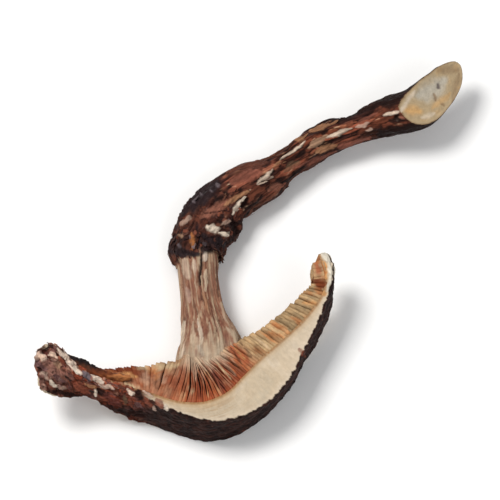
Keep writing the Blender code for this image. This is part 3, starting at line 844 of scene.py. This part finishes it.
def paint_cut(share, kind, t, flesh, flow):
    """The colours of the cut flesh, with a brown line along the gills and a pale one along the skin."""
    front = kind == FRONT
    cloud = grain(flow, (4, 3, 3), 12)
    thread = grain(flow, (0.35, 3.2, 1.5), 13)
    seams = ridges(flow, (9, 0.45, 2), 19)
    # Towards the lower left the cut flesh is painted greyer and tanner: painted shade. The brown seams there
    # are the flesh's own.
    low_left = np.where(front, ramp(share, 0.6, 0.46), 0)
    gill_side = np.where(front, np.exp(-((t * flesh / 0.4) ** 4)), np.where(kind == GILL_SIDE, 1.0, 0))
    return coats(
        colour("flesh"),
        ("flesh_bright", ramp(cloud + 0.5 * thread, -0.1, 0.9) * 0.7),
        ("flesh_grey", ramp(-cloud + 0.3 * thread, 0.1, 0.8) * 0.7),
        ("gill_tan", ramp(grain(flow, (3, 1.2, 1.2), 18), 0.3, 0.9) * 0.35),
        ("flesh_bright", ramp(share, 0.64, 0.76) * 0.4),
        ("flesh_grey", low_left * 0.6),
        ("flesh_line", low_left * ramp(seams, 0.55, 0.95) * 0.4),
        ("gill_tan", low_left * ramp(t * flesh + 0.4 * cloud, 2.6, 0.8) * 0.3),
        ("gill_tan", np.where(front, ramp(t * flesh + 0.3 * cloud, 1.2, 0.3), 0) * 0.45),
        ("flesh_line", gill_side * (0.85 + 0.4 * thread)),
        ("flesh_bright", np.where(front, ramp((1 - t) * flesh, 1, 0.3), 0) * 0.5),
    )


def build_cap_flesh(finishes, flake_finish):
    share = np.linspace(0, 1, CAP_ROWS)[:, None]
    kind = np.repeat(range(4), CAP_SIDES)[None, :]
    t = np.concatenate([np.arange(count) / count for count in CAP_SIDES])[None, :]
    here = CAP.at(share)
    flesh, thick = here["flesh"], here["thick"]
    torn = np.maximum(0, 1 - share / TORN_END)
    left = ramp(share, *CRUMBLED)
    front = kind == FRONT
    skin = kind == SKIN
    grid, flow = cap_rings(share, kind, t, torn)
    normals = grid_normals(grid)

    # Surface shape: scales on the skin, faint fibres on the cut, crumbs at the torn left margin.
    plate, plate_edge = plates(flow + 0.5 * grain(flow, 1.2, 16, 2)[..., None], (1.5, 0.6, 0.6), 2)
    chip, chip_edge = plates(flow + 0.5 * grain(grid, 0.9, 15, 2)[..., None], (1.5, 0.42, 0.42), 3)
    scale = ridges(flow, (1.9, 0.9, 0.8), 3, 3)
    scale_fine = grain(flow, (0.5, 0.3, 0.3), 4, 2)
    crumb = grain(grid, 1.5, 5)
    plating = 0.07 * plate * ramp(plate_edge, 0, 0.3) + 0.05 * scale
    relief = np.where(skin, plating + 0.05 * scale_fine, 0)
    chipping = 0.26 * chip * ramp(chip_edge, 0, 0.2) + 0.14 * crumb
    relief = relief + left * chipping * (kind <= SKIN)
    relief += torn * 0.6 * grain(grid, 1.1, 6)
    cut_grain = 0.03 * grain(flow, (0.5, 2.6, 1), 7) + 0.05 * grain(flow, (2.5, 1.6, 1), 17, 2)
    relief += np.where(front, cut_grain, 0) * (1 - left)
    relief += np.where(kind == BACK, 0.03 * grain(flow, (0.8, 2, 1), 8, 2), 0)
    line = flow * (1, 0, 0)
    jag = grain(line, (0.75, 1, 1), 9) + 0.5 * grain(line, (0.28, 1, 1), 10, 1)
    rim = np.where(front, np.exp(-(1 - t) * flesh / RIM_SOFTNESS), 0)
    rim = np.where(skin, np.exp(-t * thick / RIM_SOFTNESS), rim)
    relief += rim * 0.26 * jag * (1 - 0.5 * left)

    # The skin that wraps round the cut flesh, whole at the right and crumbled at the left.
    rind = coats(
        pick(plate, SKIN_PLATES),
        ("skin_brown", ramp(scale + 0.5 * scale_fine + 0.4 * crumb, 0.8, 1.4) * 0.6),
    )
    shards = coats(
        pick(chip, SKIN_CHIPS),
        ("skin_pale", ramp(crumb + 0.4 * scale_fine, 0.35, 0.75) * (0.45 + 0.5 * torn)),
        ("lobe", ramp(crumb + 0.3 * chip, -0.5, 0.3) * torn * 0.6),
        ("skin_black", ramp(chip_edge, 0.12, 0) * 0.75),
    )
    gloom = ramp(flow[..., 2] + 1.6 * crumb, 1.6, 4.2) * skin + ramp(-crumb, 0.15, 0.5) * 0.6
    reddish = ramp(grain(flow, (2.6, 1, 1), 14), 0.4 - 0.4 * left, 0.9)
    rind = coats(
        mix(rind, shards, left),
        ("skin_black", ramp(plate_edge, 0.12, 0.02) * (1 - left) * 0.6),
        ("skin_black", left * (1 - torn) * gloom * 0.7),
        ("skin_red", reddish * (0.2 + 0.6 * left)),
    )
    rind = rind * (1 + 0.5 * scale_fine + 0.35 * crumb)[..., None]
    rind = rind * mix(np.ones(3), CRUMB_WARMTH, left * (1 - torn))

    # The skin also covers the cut's very rim, crumbles over its left end and leaves the tip bare.
    lip = np.where(front, ramp((1 - t) * flesh + 0.36 * jag, 0.3, 0.12), 0)
    ragged = left * ramp(chip + 0.5 * crumb + 0.25 * scale_fine, 0, 0.25)
    wall = np.maximum(np.where(skin, 1.0, 0), lip * ramp(share, 0.2, 0.34))
    wall = np.maximum(wall, np.where(kind <= SKIN, ragged, 0))
    bare = ramp(share + 0.012 * crumb, *BARE_TIP)
    bare = bare * ramp(t * thick + 0.9 * crumb + 0.5 * scale_fine, 2.3, 1.3)
    paint = mix(paint_cut(share, kind, t, flesh, flow), rind, wall)
    paint = coats(paint, ("crust", np.where(skin, bare, 0)))
    paint, lift = draw_marks(grid, flow, faces_camera(normals), paint, CAP_MARKS, (1, 0.5))
    grid = grid + normals * (relief + lift)[..., None]

    ends = np.ones(grid.shape[1] - 2, int)
    kinds = np.concatenate([(wall[:-1] > 0.5).ravel(), ends])
    piece = build_piece("cap_flesh", grid, paint, flow, finishes, kinds)
    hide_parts("cap")
    build_cap_flakes(grid, normals, paint, flake_finish)


def build_cap_flakes(grid, normals, paint, finish):
    """Crumbs at the torn margin, and small scales along the skin."""
    chance = np.random.default_rng(31)
    onward = np.gradient(grid, axis=0)
    first = CAP_SIDES[FRONT]
    last = first + CAP_SIDES[SKIN]
    spots = scatter(chance, (4, 56), (0, last), 120)
    crumbs = build_flakes("margin_crumbs", grid, normals, paint, spots, -onward[spots], finish)
    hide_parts("cap")
    spots = scatter(chance, (50, CAP_ROWS - 16), (first + 2, last - 2), 260)
    lie = onward[spots] * np.where(spots[0] > 0.44 * CAP_ROWS, 1, -1)[:, None]
    scales = build_flakes("skin_scales", grid, normals, paint, spots, lie, finish)
    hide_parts("cap")


def gill_zones(x):
    """How far a leaf lies down, or belongs to the left, under the stem or to the right."""
    under = ramp(np.abs(x + 5.6), 7.5, 4.5)
    return ramp(x, -11.5, -16.5), ramp(x, -8.5, -12), under, ramp(x, -1.5, 3)


def paint_gills(x, place, wobble, level, edge, lucky):
    """Colours of the leaves, paler along their edges and darker between.

    They are red brown under the stem, pinkish to its left, and cream with orange bands at the right.
    """
    lying, left, under, right = gill_zones(x)
    sunk = ramp(x, -18, -21.5)
    bare = (1 - right) * (1 - lying)
    streak = grain(wobble, (1.6, 0.7, 1), 24)
    fibre = grain(wobble, (2.6, 0.25, 1), 25, 2)
    band = grain(place, (1.5, 5, 3), 28)
    soot = grain(place, (0.8, 2.2, 2), 29)
    broken = ramp(grain(place, (0.9, 2.4, 2), 30, 2) - 0.6 * level, -0.2, 0.5)
    deep_tone = coats(
        colour("gill_red"),
        ("gill_gold", right),
        ("gill_brown", left * 0.8),
        ("rust", lying * 0.7),
    )
    front_tone = coats(
        colour("gill_red"),
        ("orange", ramp(lucky + 0.9 * soot, -0.1, 1) * 0.7),
        ("gill_cream", ramp(lucky + 0.8 * streak, 0.55, 0.9) * 0.8),
        ("gill_pink", ramp(-lucky + 0.7 * streak, 0.35, 0.8) * 0.7),
        ("maroon", ramp(np.abs(lucky) - 0.8 * band, 0.3, -0.3) * 0.55),
    )
    pinkish = coats(colour("gill_pink"), ("gill_brown", ramp(soot + 0.3 * streak, -0.1, 0.6) * 0.8))
    creamy = coats(
        colour("gill_cream"),
        ("orange", ramp(band + 0.15 * lucky, 0, 0.7) * 0.8),
        ("flesh_bright", ramp(-band + 0.2 * lucky, 0.3, 0.9) * 0.35),
    )
    creamy = creamy * CREAM_SHADE * (1 + 0.22 * lucky + 0.25 * streak)[..., None]
    ruddy = coats(colour("rust"), ("orange", ramp(soot, 0.2, 0.8) * 0.6))
    front_tone = mix(mix(front_tone, pinkish, left), creamy, right)
    front_tone = mix(front_tone, ruddy, lying * ramp(level + 0.25 * band - 0.5 * sunk, 0.45, 0.75))
    paint = coats(
        mix(deep_tone, front_tone, edge * (0.85 + 0.3 * streak) + 0.6 * right),
        ("gill_dark", ramp(-soot - 0.3 * streak, 0.2, 0.8) * 0.7 * (1 - 0.85 * right)),
        ("gill_red", broken * bare * 0.65),
        ("ember", ramp(place[..., 1] + 0.5 * soot, 1.1, 0) * bare * 0.3),
    )
    paint = coats(
        paint * mix(*GILL_WARMTH, right),
        ("stem_cream", ramp(level + 0.16 * streak, 0.52, 0.84) * under * 0.85),
        ("gill_tan", ramp(level + 0.25 * streak, 0.6, 0.98) * (1 - under) * (1 - lying) * 0.6),
    )
    return paint * (1 - 0.1 * left + 0.16 * lucky + 0.12 * fibre)[..., None]


def build_gills(finish):
    number = np.arange(GILL_COUNT)[:, None, None]
    level = np.linspace(0, 1, GILL_LEVELS)[None, :, None]
    deep = np.linspace(0, 1, GILL_DEPTHS)
    deep = np.concatenate([deep, deep[::-1]])[None, None, :]
    side = np.repeat((-1, 1), GILL_DEPTHS)[None, None, :]
    wild = np.random.default_rng(5).uniform(-1, 1, size=(4, GILL_COUNT, 1, 1))

    spread = 2 * number / (GILL_COUNT - 1) - 1
    spread = (spread + GILL_CROWDING * spread**3) / (1 + GILL_CROWDING)
    first, middle, last = GILL_SHARES
    share = middle + np.where(spread < 0, middle - first, last - middle) * spread
    share = share + wild[0] * 0.0013
    here = CAP.at(share)
    lying, left, under, right = gill_zones(here["x"])
    root = -np.minimum(0.5, here["flesh"] / 2)
    uneven = 0.14 * grain(share * (CAP.length / 2.2, 0, 0), 1, 22, 2)[..., None] * left
    tall = here["gill"] * (1 + 0.02 * wild[1] + 0.1 * under + uneven) * (1 - 0.1 * lying)
    lean = -math.radians(GILL_TURN) * np.tanh(GILL_TURN_QUICKNESS * (share - middle)) * (1 - 0.35 * right)
    leaned = CAP.at(share + np.tan(lean) * here["thick"] / CAP.length)
    back = np.minimum(here["thick"], leaned["thick"]) - 0.45
    back = np.where(under > 0.5, here["thick"] * 0.5, back)

    half = (0.19 - 0.075 * level) * (1 + 0.25 * wild[2]) * (1 - right) + 0.3 * right + 0.2 * lying
    half = half + 0.15 * ramp(share, 0.905, 0.92)
    half = half + left * (0.12 * (1 - lying) + 0.28 * level**1.5) * np.exp(-3 * deep)
    half = half + (1 - right) * (0.09 * ramp(level, 0.25, 0) + 0.12 * under * ramp(level, 0.55, 0.95))
    taper = np.clip(np.sqrt(np.clip(np.sin(math.pi * (0.04 + 0.92 * deep)) * 3, 0, 1)), 0.25, 1)
    height = root + (tall - root) * level
    front = 0.12 + here["slope"] * (0.86 - 0.14 * under) * level**1.5
    depth = front + (back - front) * deep
    wobble = field(height, depth, number * 3.7)
    place = field(share * CAP.length, height, depth)
    bunch = 0.55 * grain(place, (1.9, 4, 6), 27, 2) * ramp(level, 0, 0.7) * (1 - 0.45 * right - 0.45 * left)
    wave = 0.12 * grain(wobble, (1.8, 2, 1), 21, 2) * ramp(level, 0, 0.35)
    fall = -2.6 * lying * level**1.3
    pairing = 0.09 * right * np.where(number % 2 == 0, 1, -1) + 0.14 * (1 - right) * (1 - number % 3)
    pairing = pairing * (1 - lying) * ramp(level, 0.1, 0.45)
    upright = 0.2 * height * near(here["x"], -8, 3)
    along = side * half * taper + np.tan(lean) * depth + wave + bunch + fall + pairing + upright
    notch = 0.1 * grain(wobble, (0.7, 0.5, 1), 23, 2) + 0.22 * grain(place, (1.2, 9, 1.5), 26, 2)
    grids = cap_place(share + along / CAP.length, height + notch * level, depth)

    edge = np.exp(-(depth - front) / 0.5)
    lucky = 0.7 * wild[3][np.arange(GILL_COUNT) // 3] + 0.5 * wild[3]
    paint = paint_gills(here["x"], place, wobble, level, edge, lucky)
    paint, _ = draw_marks(grids, wobble, np.ones(depth.shape), paint, GILL_MARKS, (1.6, 0.5))
    piece = build_piece("cap_gills", grids, paint, wobble, [finish])
    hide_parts("cap")


def build_blade(finish):
    """Towards the torn end the gills have shrunk into one thin dark blade."""
    share = np.linspace(0, 1, BLADE_ROWS)[:, None]
    angle = (np.arange(BLADE_COLUMNS) / BLADE_COLUMNS * math.tau)[None, :]
    blade = BLADE.at(share)
    along = BLADE.tangent(share)
    upward = unit(np.cross((0, 0.42, -0.91), along))
    outward = np.cross(along, upward)
    fringe = field(share * BLADE.length, np.cos(angle), np.sin(angle))
    ragged = grain(fringe, 0.9, 51)
    tall = blade["tall"] * np.cos(angle) * (1 + 0.6 * ragged * ramp(share, 0.1, 0.35))
    deep = blade["deep"] * np.sin(angle) * (1 + 0.25 * ragged)
    grid = BLADE.point(share) + upward * tall[..., None] + outward * deep[..., None]
    ink = coats(
        colour("gill_dark"),
        ("skin_black", ramp(ragged - 0.7 * np.cos(angle), -0.4, 0.4)),
        ("rust", ramp(share + 0.15 * ragged + 0.1 * np.cos(angle), 0.4, 0.62) * 0.8),
        ("orange", ramp(share + 0.1 * np.cos(angle) + 0.2 * ragged, 0.62, 0.9) * 0.85),
    )
    ink = ink * (1 + 0.6 * grain(fringe, (0.7, 0.4, 0.4), 52, 2))[..., None]
    piece = build_piece("gill_blade", grid, ink, fringe, [finish])
    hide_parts("cap")


def near(share, middle, length):
    return np.exp(-(((share - middle) / length) ** 2))


def turned_to(angle, side, sharpness):
    return np.maximum(0, np.cos(angle - math.radians(side))) ** sharpness


def stem_swell(share, angle):
    """The relief that the solid has too: flutes below the ring, lumps, the crease and the flap above it."""
    below = 1 / (1 + np.exp((share - RING_AT) * RING_SHARPNESS))
    flutes = FLUTE_DEPTH * np.cos(FLUTE_COUNT * angle + FLUTE_WANDER * np.sin(5 * share))
    bark = 0
    for along, around, strength in BARK_LUMPS:
        bark = bark + strength * np.sin(math.tau * along * share + around * angle)
    bark = bark - CREASE_DEPTH * near(share, CREASE_AT, CREASE_LENGTH) * turned_to(angle, CREASE_SIDE, 2)
    bark = bark + FLAP_HEIGHT * near(share, FLAP_AT, FLAP_LENGTH) * turned_to(angle, FLAP_SIDE, 3)
    return below * flutes + (1 - below) * bark


def cut_normal():
    turn = math.radians(BUTT_CUT_TURN)
    tilt = math.radians(BUTT_CUT_TILT)
    return np.array((math.sin(tilt) * math.cos(turn), math.sin(tilt) * math.sin(turn), math.cos(tilt)))


def beyond_cut(points):
    """How far points lie beyond the plane of the knife's cut."""
    return (points - BUTT_CUT_POINT) @ cut_normal()


def cut_butt(grid, paint, share, pole):
    """The knife's cut: what lies beyond it is drawn in towards the underside until it meets the plane."""
    beyond = beyond_cut(grid)
    cut = (share > BUTT_FROM) & (beyond > 0)
    pull = np.where(cut, beyond / np.maximum(beyond - beyond_cut(pole), 1e-6), 0)
    grid = grid + (pole - grid) * np.clip(pull, 0, 1)[..., None]
    mottle = grain(grid, 1.6, 41)
    face = coats(
        colour("butt_rim"),
        ("butt_orange", ramp(mottle, 0.1, 0.8) * 0.35),
        ("butt_rim_edge", ramp(beyond + 0.12 * mottle, 0.22, 0) * 0.85),
    )
    face, sink = draw_marks(grid, grid, np.ones(cut.shape), face, BUTT_MARKS, (1, 1), 0)
    dip = np.where(cut, (sink - 0.12) * ramp(beyond, 0.1, 0.8) + 0.04 * grain(grid, 0.7, 42), 0)
    return grid + cut_normal() * dip[..., None], mix(paint, face, cut), cut, beyond


def paint_fibres(share, flow, eastward, thread, cords, strand, strand_edge):
    """Fibre bundles below the ring: each has its own tone, with thin dark lines between them.

    Painted light: the sides that face left, and the right flank near the base, are painted lighter.
    """
    hair = grain(flow, (18, 0.2, 0.2), 37, 2)
    fibres = grain(flow, (20, 0.45, 0.45), 43, 2)
    shade = 0.2 * thread + 0.4 * fibres + 0.25 * cords + 0.62 * hair
    shade = shade + 0.22 * (strand - 0.5) + 0.42 * ramp(share, 0.16, 0.07)
    # Painted light: sides that face left are painted lighter.
    shade = shade - 0.22 * near(share, 0.215, 0.07) + 0.22 * ramp(-eastward, 0.45, 0.9) - 0.05
    # Painted light: the right flank near the base is painted lighter.
    shade = shade + 0.4 * ramp(eastward, 0.1, 0.6) * ramp(share, 0.24, 0.14)
    return coats(
        colour("stem_brown"),
        ("stem_pale", ramp(shade, -0.2, 0.25)),
        ("stem_cream", ramp(shade, 0.25, 0.7)),
        ("stem_red", ramp(shade, -0.15, -0.5) * 0.85),
        ("stem_dark", ramp(strand_edge, 0.1, 0) * ramp(cords + fibres, 0.5, -0.6) * 0.75),
        ("flesh_grey", ramp(share + 0.02 * fibres, 0.16, 0.08) * 0.5),
    )


def build_stem(finishes, flake_finish):
    share = np.linspace(0, 1, STEM_ROWS)[:, None]
    angle = (np.arange(STEM_COLUMNS) / STEM_COLUMNS * math.tau)[None, :]
    here = STEM.at(share)
    along = STEM.tangent(share)
    right = unit(np.cross(along, (0, 0, 1)))
    top = np.cross(right, along)
    calm = 1 - ramp(share, 0.8, 0.88)
    swell = 1 + stem_swell(share, angle) * (0.2 + 0.8 * calm)
    closing = np.sqrt(1 - 0.995 * np.clip((share - 0.958) / 0.042, 0, 1) ** 2)
    deep = here["deep"] * (1 - 0.16 * ramp(share, 0.17, 0.02)) * closing
    across = here["wide"] * closing * swell * np.cos(angle)
    up = deep * swell * np.sin(angle)
    middle = STEM.point(share)
    grid = middle + right * across[..., None] + top * up[..., None]
    normals = grid_normals(grid)
    eastward = normals[..., 0]
    radius = (here["wide"] + here["deep"]) / 2
    flow = field(share * STEM.length, radius * np.cos(angle), radius * np.sin(angle))

    fine = grain(flow, (1, 0.3, 0.3), 35, 2)
    skirt = 0.013 * ramp(eastward, 0.15, -0.25) * ramp(eastward, -0.95, -0.6)
    skirt = skirt - 0.01 * ramp(eastward, 0.35, 0.8)
    low = ramp(share + skirt + 0.006 * fine + 0.004 * grain(flow, (3, 0.8, 0.8), 30, 2), 0.334, 0.326)
    bark = 1 - low
    ring = near(share, 0.345, 0.024)
    rough_end = np.clip(ring + near(share, 0.41, 0.045), 0, 1)
    thread = grain(flow, (8, 0.42, 0.42), 31)
    cords = grain(flow, (15, 1.1, 1.1), 32, 2)
    ridge = ridges(flow, (6, 0.95, 0.95), 33, 3)
    lump = grain(flow, (1.9, 1.5, 1.5), 34)
    bent = flow + field(0, 0.35 * cords, 0.35 * lump)
    strand, strand_edge = plates(bent, (15, 0.46, 0.46), 7)
    strip, strip_edge = plates(bent, (6, 0.85, 0.85), 8)
    clod, clod_edge = plates(grid + 0.5 * lump[..., None], 0.72, 9)

    relief = low * (0.14 * thread + 0.26 * cords + 0.06 * strand * ramp(strand_edge, 0, 0.3))
    relief += bark * (0.08 * ridge + 0.05 * fine + 0.1 * lump) * (0.3 + 0.7 * calm)
    relief += bark * (1 - 0.6 * rough_end) * (0.3 + 0.7 * calm) * 0.2 * strip * ramp(strip_edge, 0, 0.22)
    relief += rough_end * bark * 0.36 * clod * ramp(clod_edge, 0, 0.22)
    relief += ring * 0.22 * grain(flow, (1, 0.8, 0.8), 36)

    # Bark: black, red and brown strips along the stem, some torn to pale flesh, and clods at the ring.
    wood = coats(
        pick(strip, BARK_STRIPS),
        ("bark_red", ramp(ridge + 0.6 * lump, 0.3, 1) * 0.5),
        ("bark_tan", ramp(thread + 0.4 * fine, 0.45, 0.9) * 0.5),
        ("bark_black", ramp(strip_edge, 0.12, 0) * 0.75),
        ("bark_pale", ramp(ridge + 0.7 * thread + 0.4 * fine, 1.15, 1.6) * 0.6),
    )
    # The grey specks on the clods of the ring are painted highlights.
    lumps = coats(pick(clod, RING_CLODS), ("ring_grey_and_painted_highlight", ramp(grain(grid, 0.45, 38, 2), 0.45, 0.8) * 0.8))
    wood = mix(wood, lumps, rough_end * 0.85) * mix(*BARK_WARMTH, ramp(share, 0.52, 0.62))
    # Painted shadow: the underside and the far edge that turns over are painted bark black.
    underside = ramp(normals @ (0.35, -0.75, -0.15), 0.25, 0.8)
    over_edge = ramp(normals @ (-0.45, 0.85, 0.1), 0.35, 0.75)
    shadow = np.maximum(underside, over_edge) * (0.6 + 0.3 * ramp(share, 0.58, 0.75))
    wood = coats(wood, ("bark_black", shadow)) * (1 + 0.4 * fine + 0.35 * thread)[..., None]
    wood = coats(wood, ("bark_black", ramp(share, 0.76, 0.86) * (0.55 - 0.4 * thread)))
    paint = mix(paint_fibres(share, flow, eastward, thread, cords, strand, strand_edge), wood, bark)
    paint, lift = draw_marks(grid, flow, faces_camera(normals), paint, STEM_MARKS, (3, 0.4))
    before_cut = np.where(share > BUTT_FROM, ramp(beyond_cut(grid), -0.1, -0.7), 1)
    grid = grid + normals * ((relief + lift) * before_cut)[..., None]
    pole = middle - top * deep[..., None] * 0.98
    grid, paint, cut, beyond = cut_butt(grid, paint, share, pole)

    kinds = np.where(cut, 2, np.where(bark > 0.5, 1, 0))
    ends = np.repeat((0, 2), STEM_COLUMNS // 2 - 1)
    piece = build_piece("stem_body", grid, paint, flow, finishes, np.concatenate([kinds[:-1].ravel(), ends]))
    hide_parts("stem")
    build_stem_flakes(grid, normals, paint, along, beyond, flake_finish)


def build_stem_flakes(grid, normals, paint, along, beyond, finish):
    """Rags of the ring, which hang towards the cap, and shreds, which lie along the bark."""
    chance = np.random.default_rng(47)
    onward = np.broadcast_to(along, grid.shape)
    every_column = (0, STEM_COLUMNS)
    rag_start, shred_start, rag_end, bark_end, shred_end = (
        int(share * STEM_ROWS) for share in (0.322, 0.36, 0.365, BUTT_FROM, 0.84)
    )
    spots = scatter(chance, (rag_start, rag_end), every_column, 150)
    rags = build_flakes("ring_rags", grid, normals, paint, spots, -onward[spots], finish)
    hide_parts("stem")
    rows, columns = scatter(chance, (shred_start, shred_end), every_column, 420)
    clear = (rows < bark_end) | (beyond[rows, columns] < -1.8)
    kept = clear & (grid[rows, columns][:, 2] > 0.3)
    spots = (rows[kept], columns[kept])
    shreds = build_flakes("bark_shreds", grid, normals, paint, spots, onward[spots], finish)
    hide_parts("stem")


def node(tree, kind, *wires, **values):
    """A new node. Wires feed its first inputs, and values are its settings or its inputs, by name."""
    made = tree.nodes.new(kind)
    for key, value in values.items():
        if hasattr(made, key):
            setattr(made, key, value)
        else:
            made.inputs[key.replace("_", " ")].default_value = value
    for wire, socket in zip(wires, made.inputs):
        tree.links.new(wire, socket)
    return made


def remap(tree, source, low, high, usual=NOISE_RANGE):
    """Takes a noise from its usual range to one from low to high."""
    ranges = {"From_Min": usual[0], "From_Max": usual[1], "To_Min": low, "To_Max": high}
    return node(tree, "ShaderNodeMapRange", source, **ranges).outputs["Result"]


def new_material(name, shine):
    made = bpy.data.materials.new(name)
    made.use_nodes = True
    shader = made.node_tree.nodes["Principled BSDF"]
    shader.inputs["Specular IOR Level"].default_value = shine
    return made, made.node_tree, shader


def surface(name, stretch, cloud_size, bump_height, rough, contrast, pit_size, sheen=WHITE_SHEEN):
    """A material that takes its colour from the paint and adds its own grain, roughness and bump.

    Stretch is the size of the fine grain in millimetres along the three directions of the flow. The sizes
    of the clouds and pits and the height of the bump are in millimetres too.
    """
    made, tree, shader = new_material(name, SHINE)
    paint = node(tree, "ShaderNodeAttribute", attribute_name="paint").outputs["Color"]
    flow = node(tree, "ShaderNodeAttribute", attribute_name="flow").outputs["Vector"]
    where = node(tree, "ShaderNodeTexCoord").outputs["Object"]
    scaled = node(tree, "ShaderNodeMapping", flow, Scale=[1 / size for size in stretch]).outputs["Vector"]
    fine = node(tree, "ShaderNodeTexNoise", scaled, Scale=1, Detail=6, Roughness=0.62).outputs["Fac"]
    cloud = node(tree, "ShaderNodeTexNoise", where, Scale=1 / (cloud_size * MM), Detail=5, Roughness=0.6)
    cloud = cloud.outputs["Fac"]
    pits = node(tree, "ShaderNodeTexVoronoi", where, Scale=1 / (pit_size * MM)).outputs["Distance"]

    tone = remap(tree, fine, 1 - contrast, 1 + contrast)
    patch = remap(tree, cloud, 1 - contrast * PATCH_SHARE, 1 + contrast * PATCH_SHARE)
    both = node(tree, "ShaderNodeMath", tone, patch, operation="MULTIPLY")
    shade = node(tree, "ShaderNodeVectorMath", paint, operation="SCALE")
    tree.links.new(both.outputs["Value"], shade.inputs["Scale"])
    tree.links.new(shade.outputs["Vector"], shader.inputs["Base Color"])
    tree.links.new(remap(tree, cloud, *rough), shader.inputs["Roughness"])

    pit_depth = node(tree, "ShaderNodeMath", pits, operation="MULTIPLY")
    pit_depth.inputs[1].default_value = PIT_SHARE
    height = node(tree, "ShaderNodeMath", fine, pit_depth.outputs["Value"], operation="ADD")
    bump = node(tree, "ShaderNodeBump", Strength=BUMP_STRENGTH, Distance=bump_height * MM)
    tree.links.new(height.outputs["Value"], bump.inputs["Height"])
    tree.links.new(bump.outputs["Normal"], shader.inputs["Normal"])
    shader.inputs["Specular Tint"].default_value = (*sheen, 1)
    return made


def build_floor():
    bpy.ops.mesh.primitive_plane_add(size=PAPER_SIZE, location=(0, 0, -PAPER_GAP))
    floor = bpy.context.object
    floor.name = "studio_floor"
    made, tree, shader = new_material("studio_paper", 0.1)
    where = node(tree, "ShaderNodeTexCoord").outputs["Object"]
    grainy = node(tree, "ShaderNodeTexNoise", where, Scale=60, Detail=4).outputs["Fac"]
    tree.links.new(remap(tree, grainy, *PAPER_TONES, (0, 1)), shader.inputs["Base Color"])
    shader.inputs["Roughness"].default_value = 0.9
    floor.data.materials.append(made)


def aim_at(thing, target):
    away = Vector(thing.location) - Vector(target)
    thing.rotation_euler = away.to_track_quat("Z", "Y").to_euler()


def add_lamp(name, place, size, power, tint):
    lamp = bpy.data.lights.new(name, "AREA")
    lamp.size = size
    lamp.energy = power
    lamp.color = tint
    thing = bpy.data.objects.new(name, lamp)
    bpy.context.scene.collection.objects.link(thing)
    thing.location = place
    aim_at(thing, (0, 0, 0))


def build_studio():
    world = bpy.data.worlds.new("studio")
    world.use_nodes = True
    sky = world.node_tree.nodes["Background"]
    sky.inputs["Color"].default_value = (1, 1, 1, 1)
    sky.inputs["Strength"].default_value = SKY_STRENGTH
    bpy.context.scene.world = world
    bpy.context.scene.view_settings.view_transform = "Standard"
    for lamp in LAMPS:
        add_lamp(*lamp)


def build_camera():
    lens = bpy.data.cameras.new("camera")
    lens.lens = CAMERA_LENS
    lens.sensor_width = CAMERA_SENSOR
    lens.clip_start = 0.01
    lens.clip_end = 20
    camera = bpy.data.objects.new("camera", lens)
    bpy.context.scene.collection.objects.link(camera)
    low, high = CAD_BOX
    target = (low + high) / 2
    away = FRAME_WIDTH * MM * CAMERA_LENS / CAMERA_SENSOR
    camera.location = target + Vector((0, -math.cos(VIEW_LIFT), math.sin(VIEW_LIFT))) * away
    aim_at(camera, target)
    bpy.context.scene.camera = camera


cut_flesh = surface("cut_flesh", (0.5, 0.9, 0.6), 0.9, 0.1, (0.72, 0.9), 0.09, 0.35)
scaly_skin = surface("scaly_skin", (0.7, 0.3, 0.3), 0.8, 0.14, (0.55, 0.85), 0.32, 0.45, BROWN_SHEEN)
gill_leaf = surface("gill_leaf", (1.2, 0.35, 1), 0.7, 0.12, (0.62, 0.85), 0.2, 0.4)
stem_fibre = surface("stem_fibre", (3, 0.22, 0.22), 1, 0.14, (0.66, 0.88), 0.2, 0.4)
dark_bark = surface("dark_bark", (1.8, 0.28, 0.28), 0.8, 0.2, (0.45, 0.82), 0.3, 0.45, BROWN_SHEEN)
torn_flake = surface("torn_flake", (0.4, 0.4, 0.4), 0.6, 0.12, (0.5, 0.82), 0.28, 0.35, BROWN_SHEEN)
butt_face = surface("butt_face", (0.5, 0.5, 0.5), 0.7, 0.1, (0.7, 0.9), 0.1, 0.3)

build_cap_flesh([cut_flesh, scaly_skin], torn_flake)
build_gills(gill_leaf)
build_blade(gill_leaf)
build_stem([stem_fibre, dark_bark, butt_face], torn_flake)
build_floor()
build_studio()
build_camera()
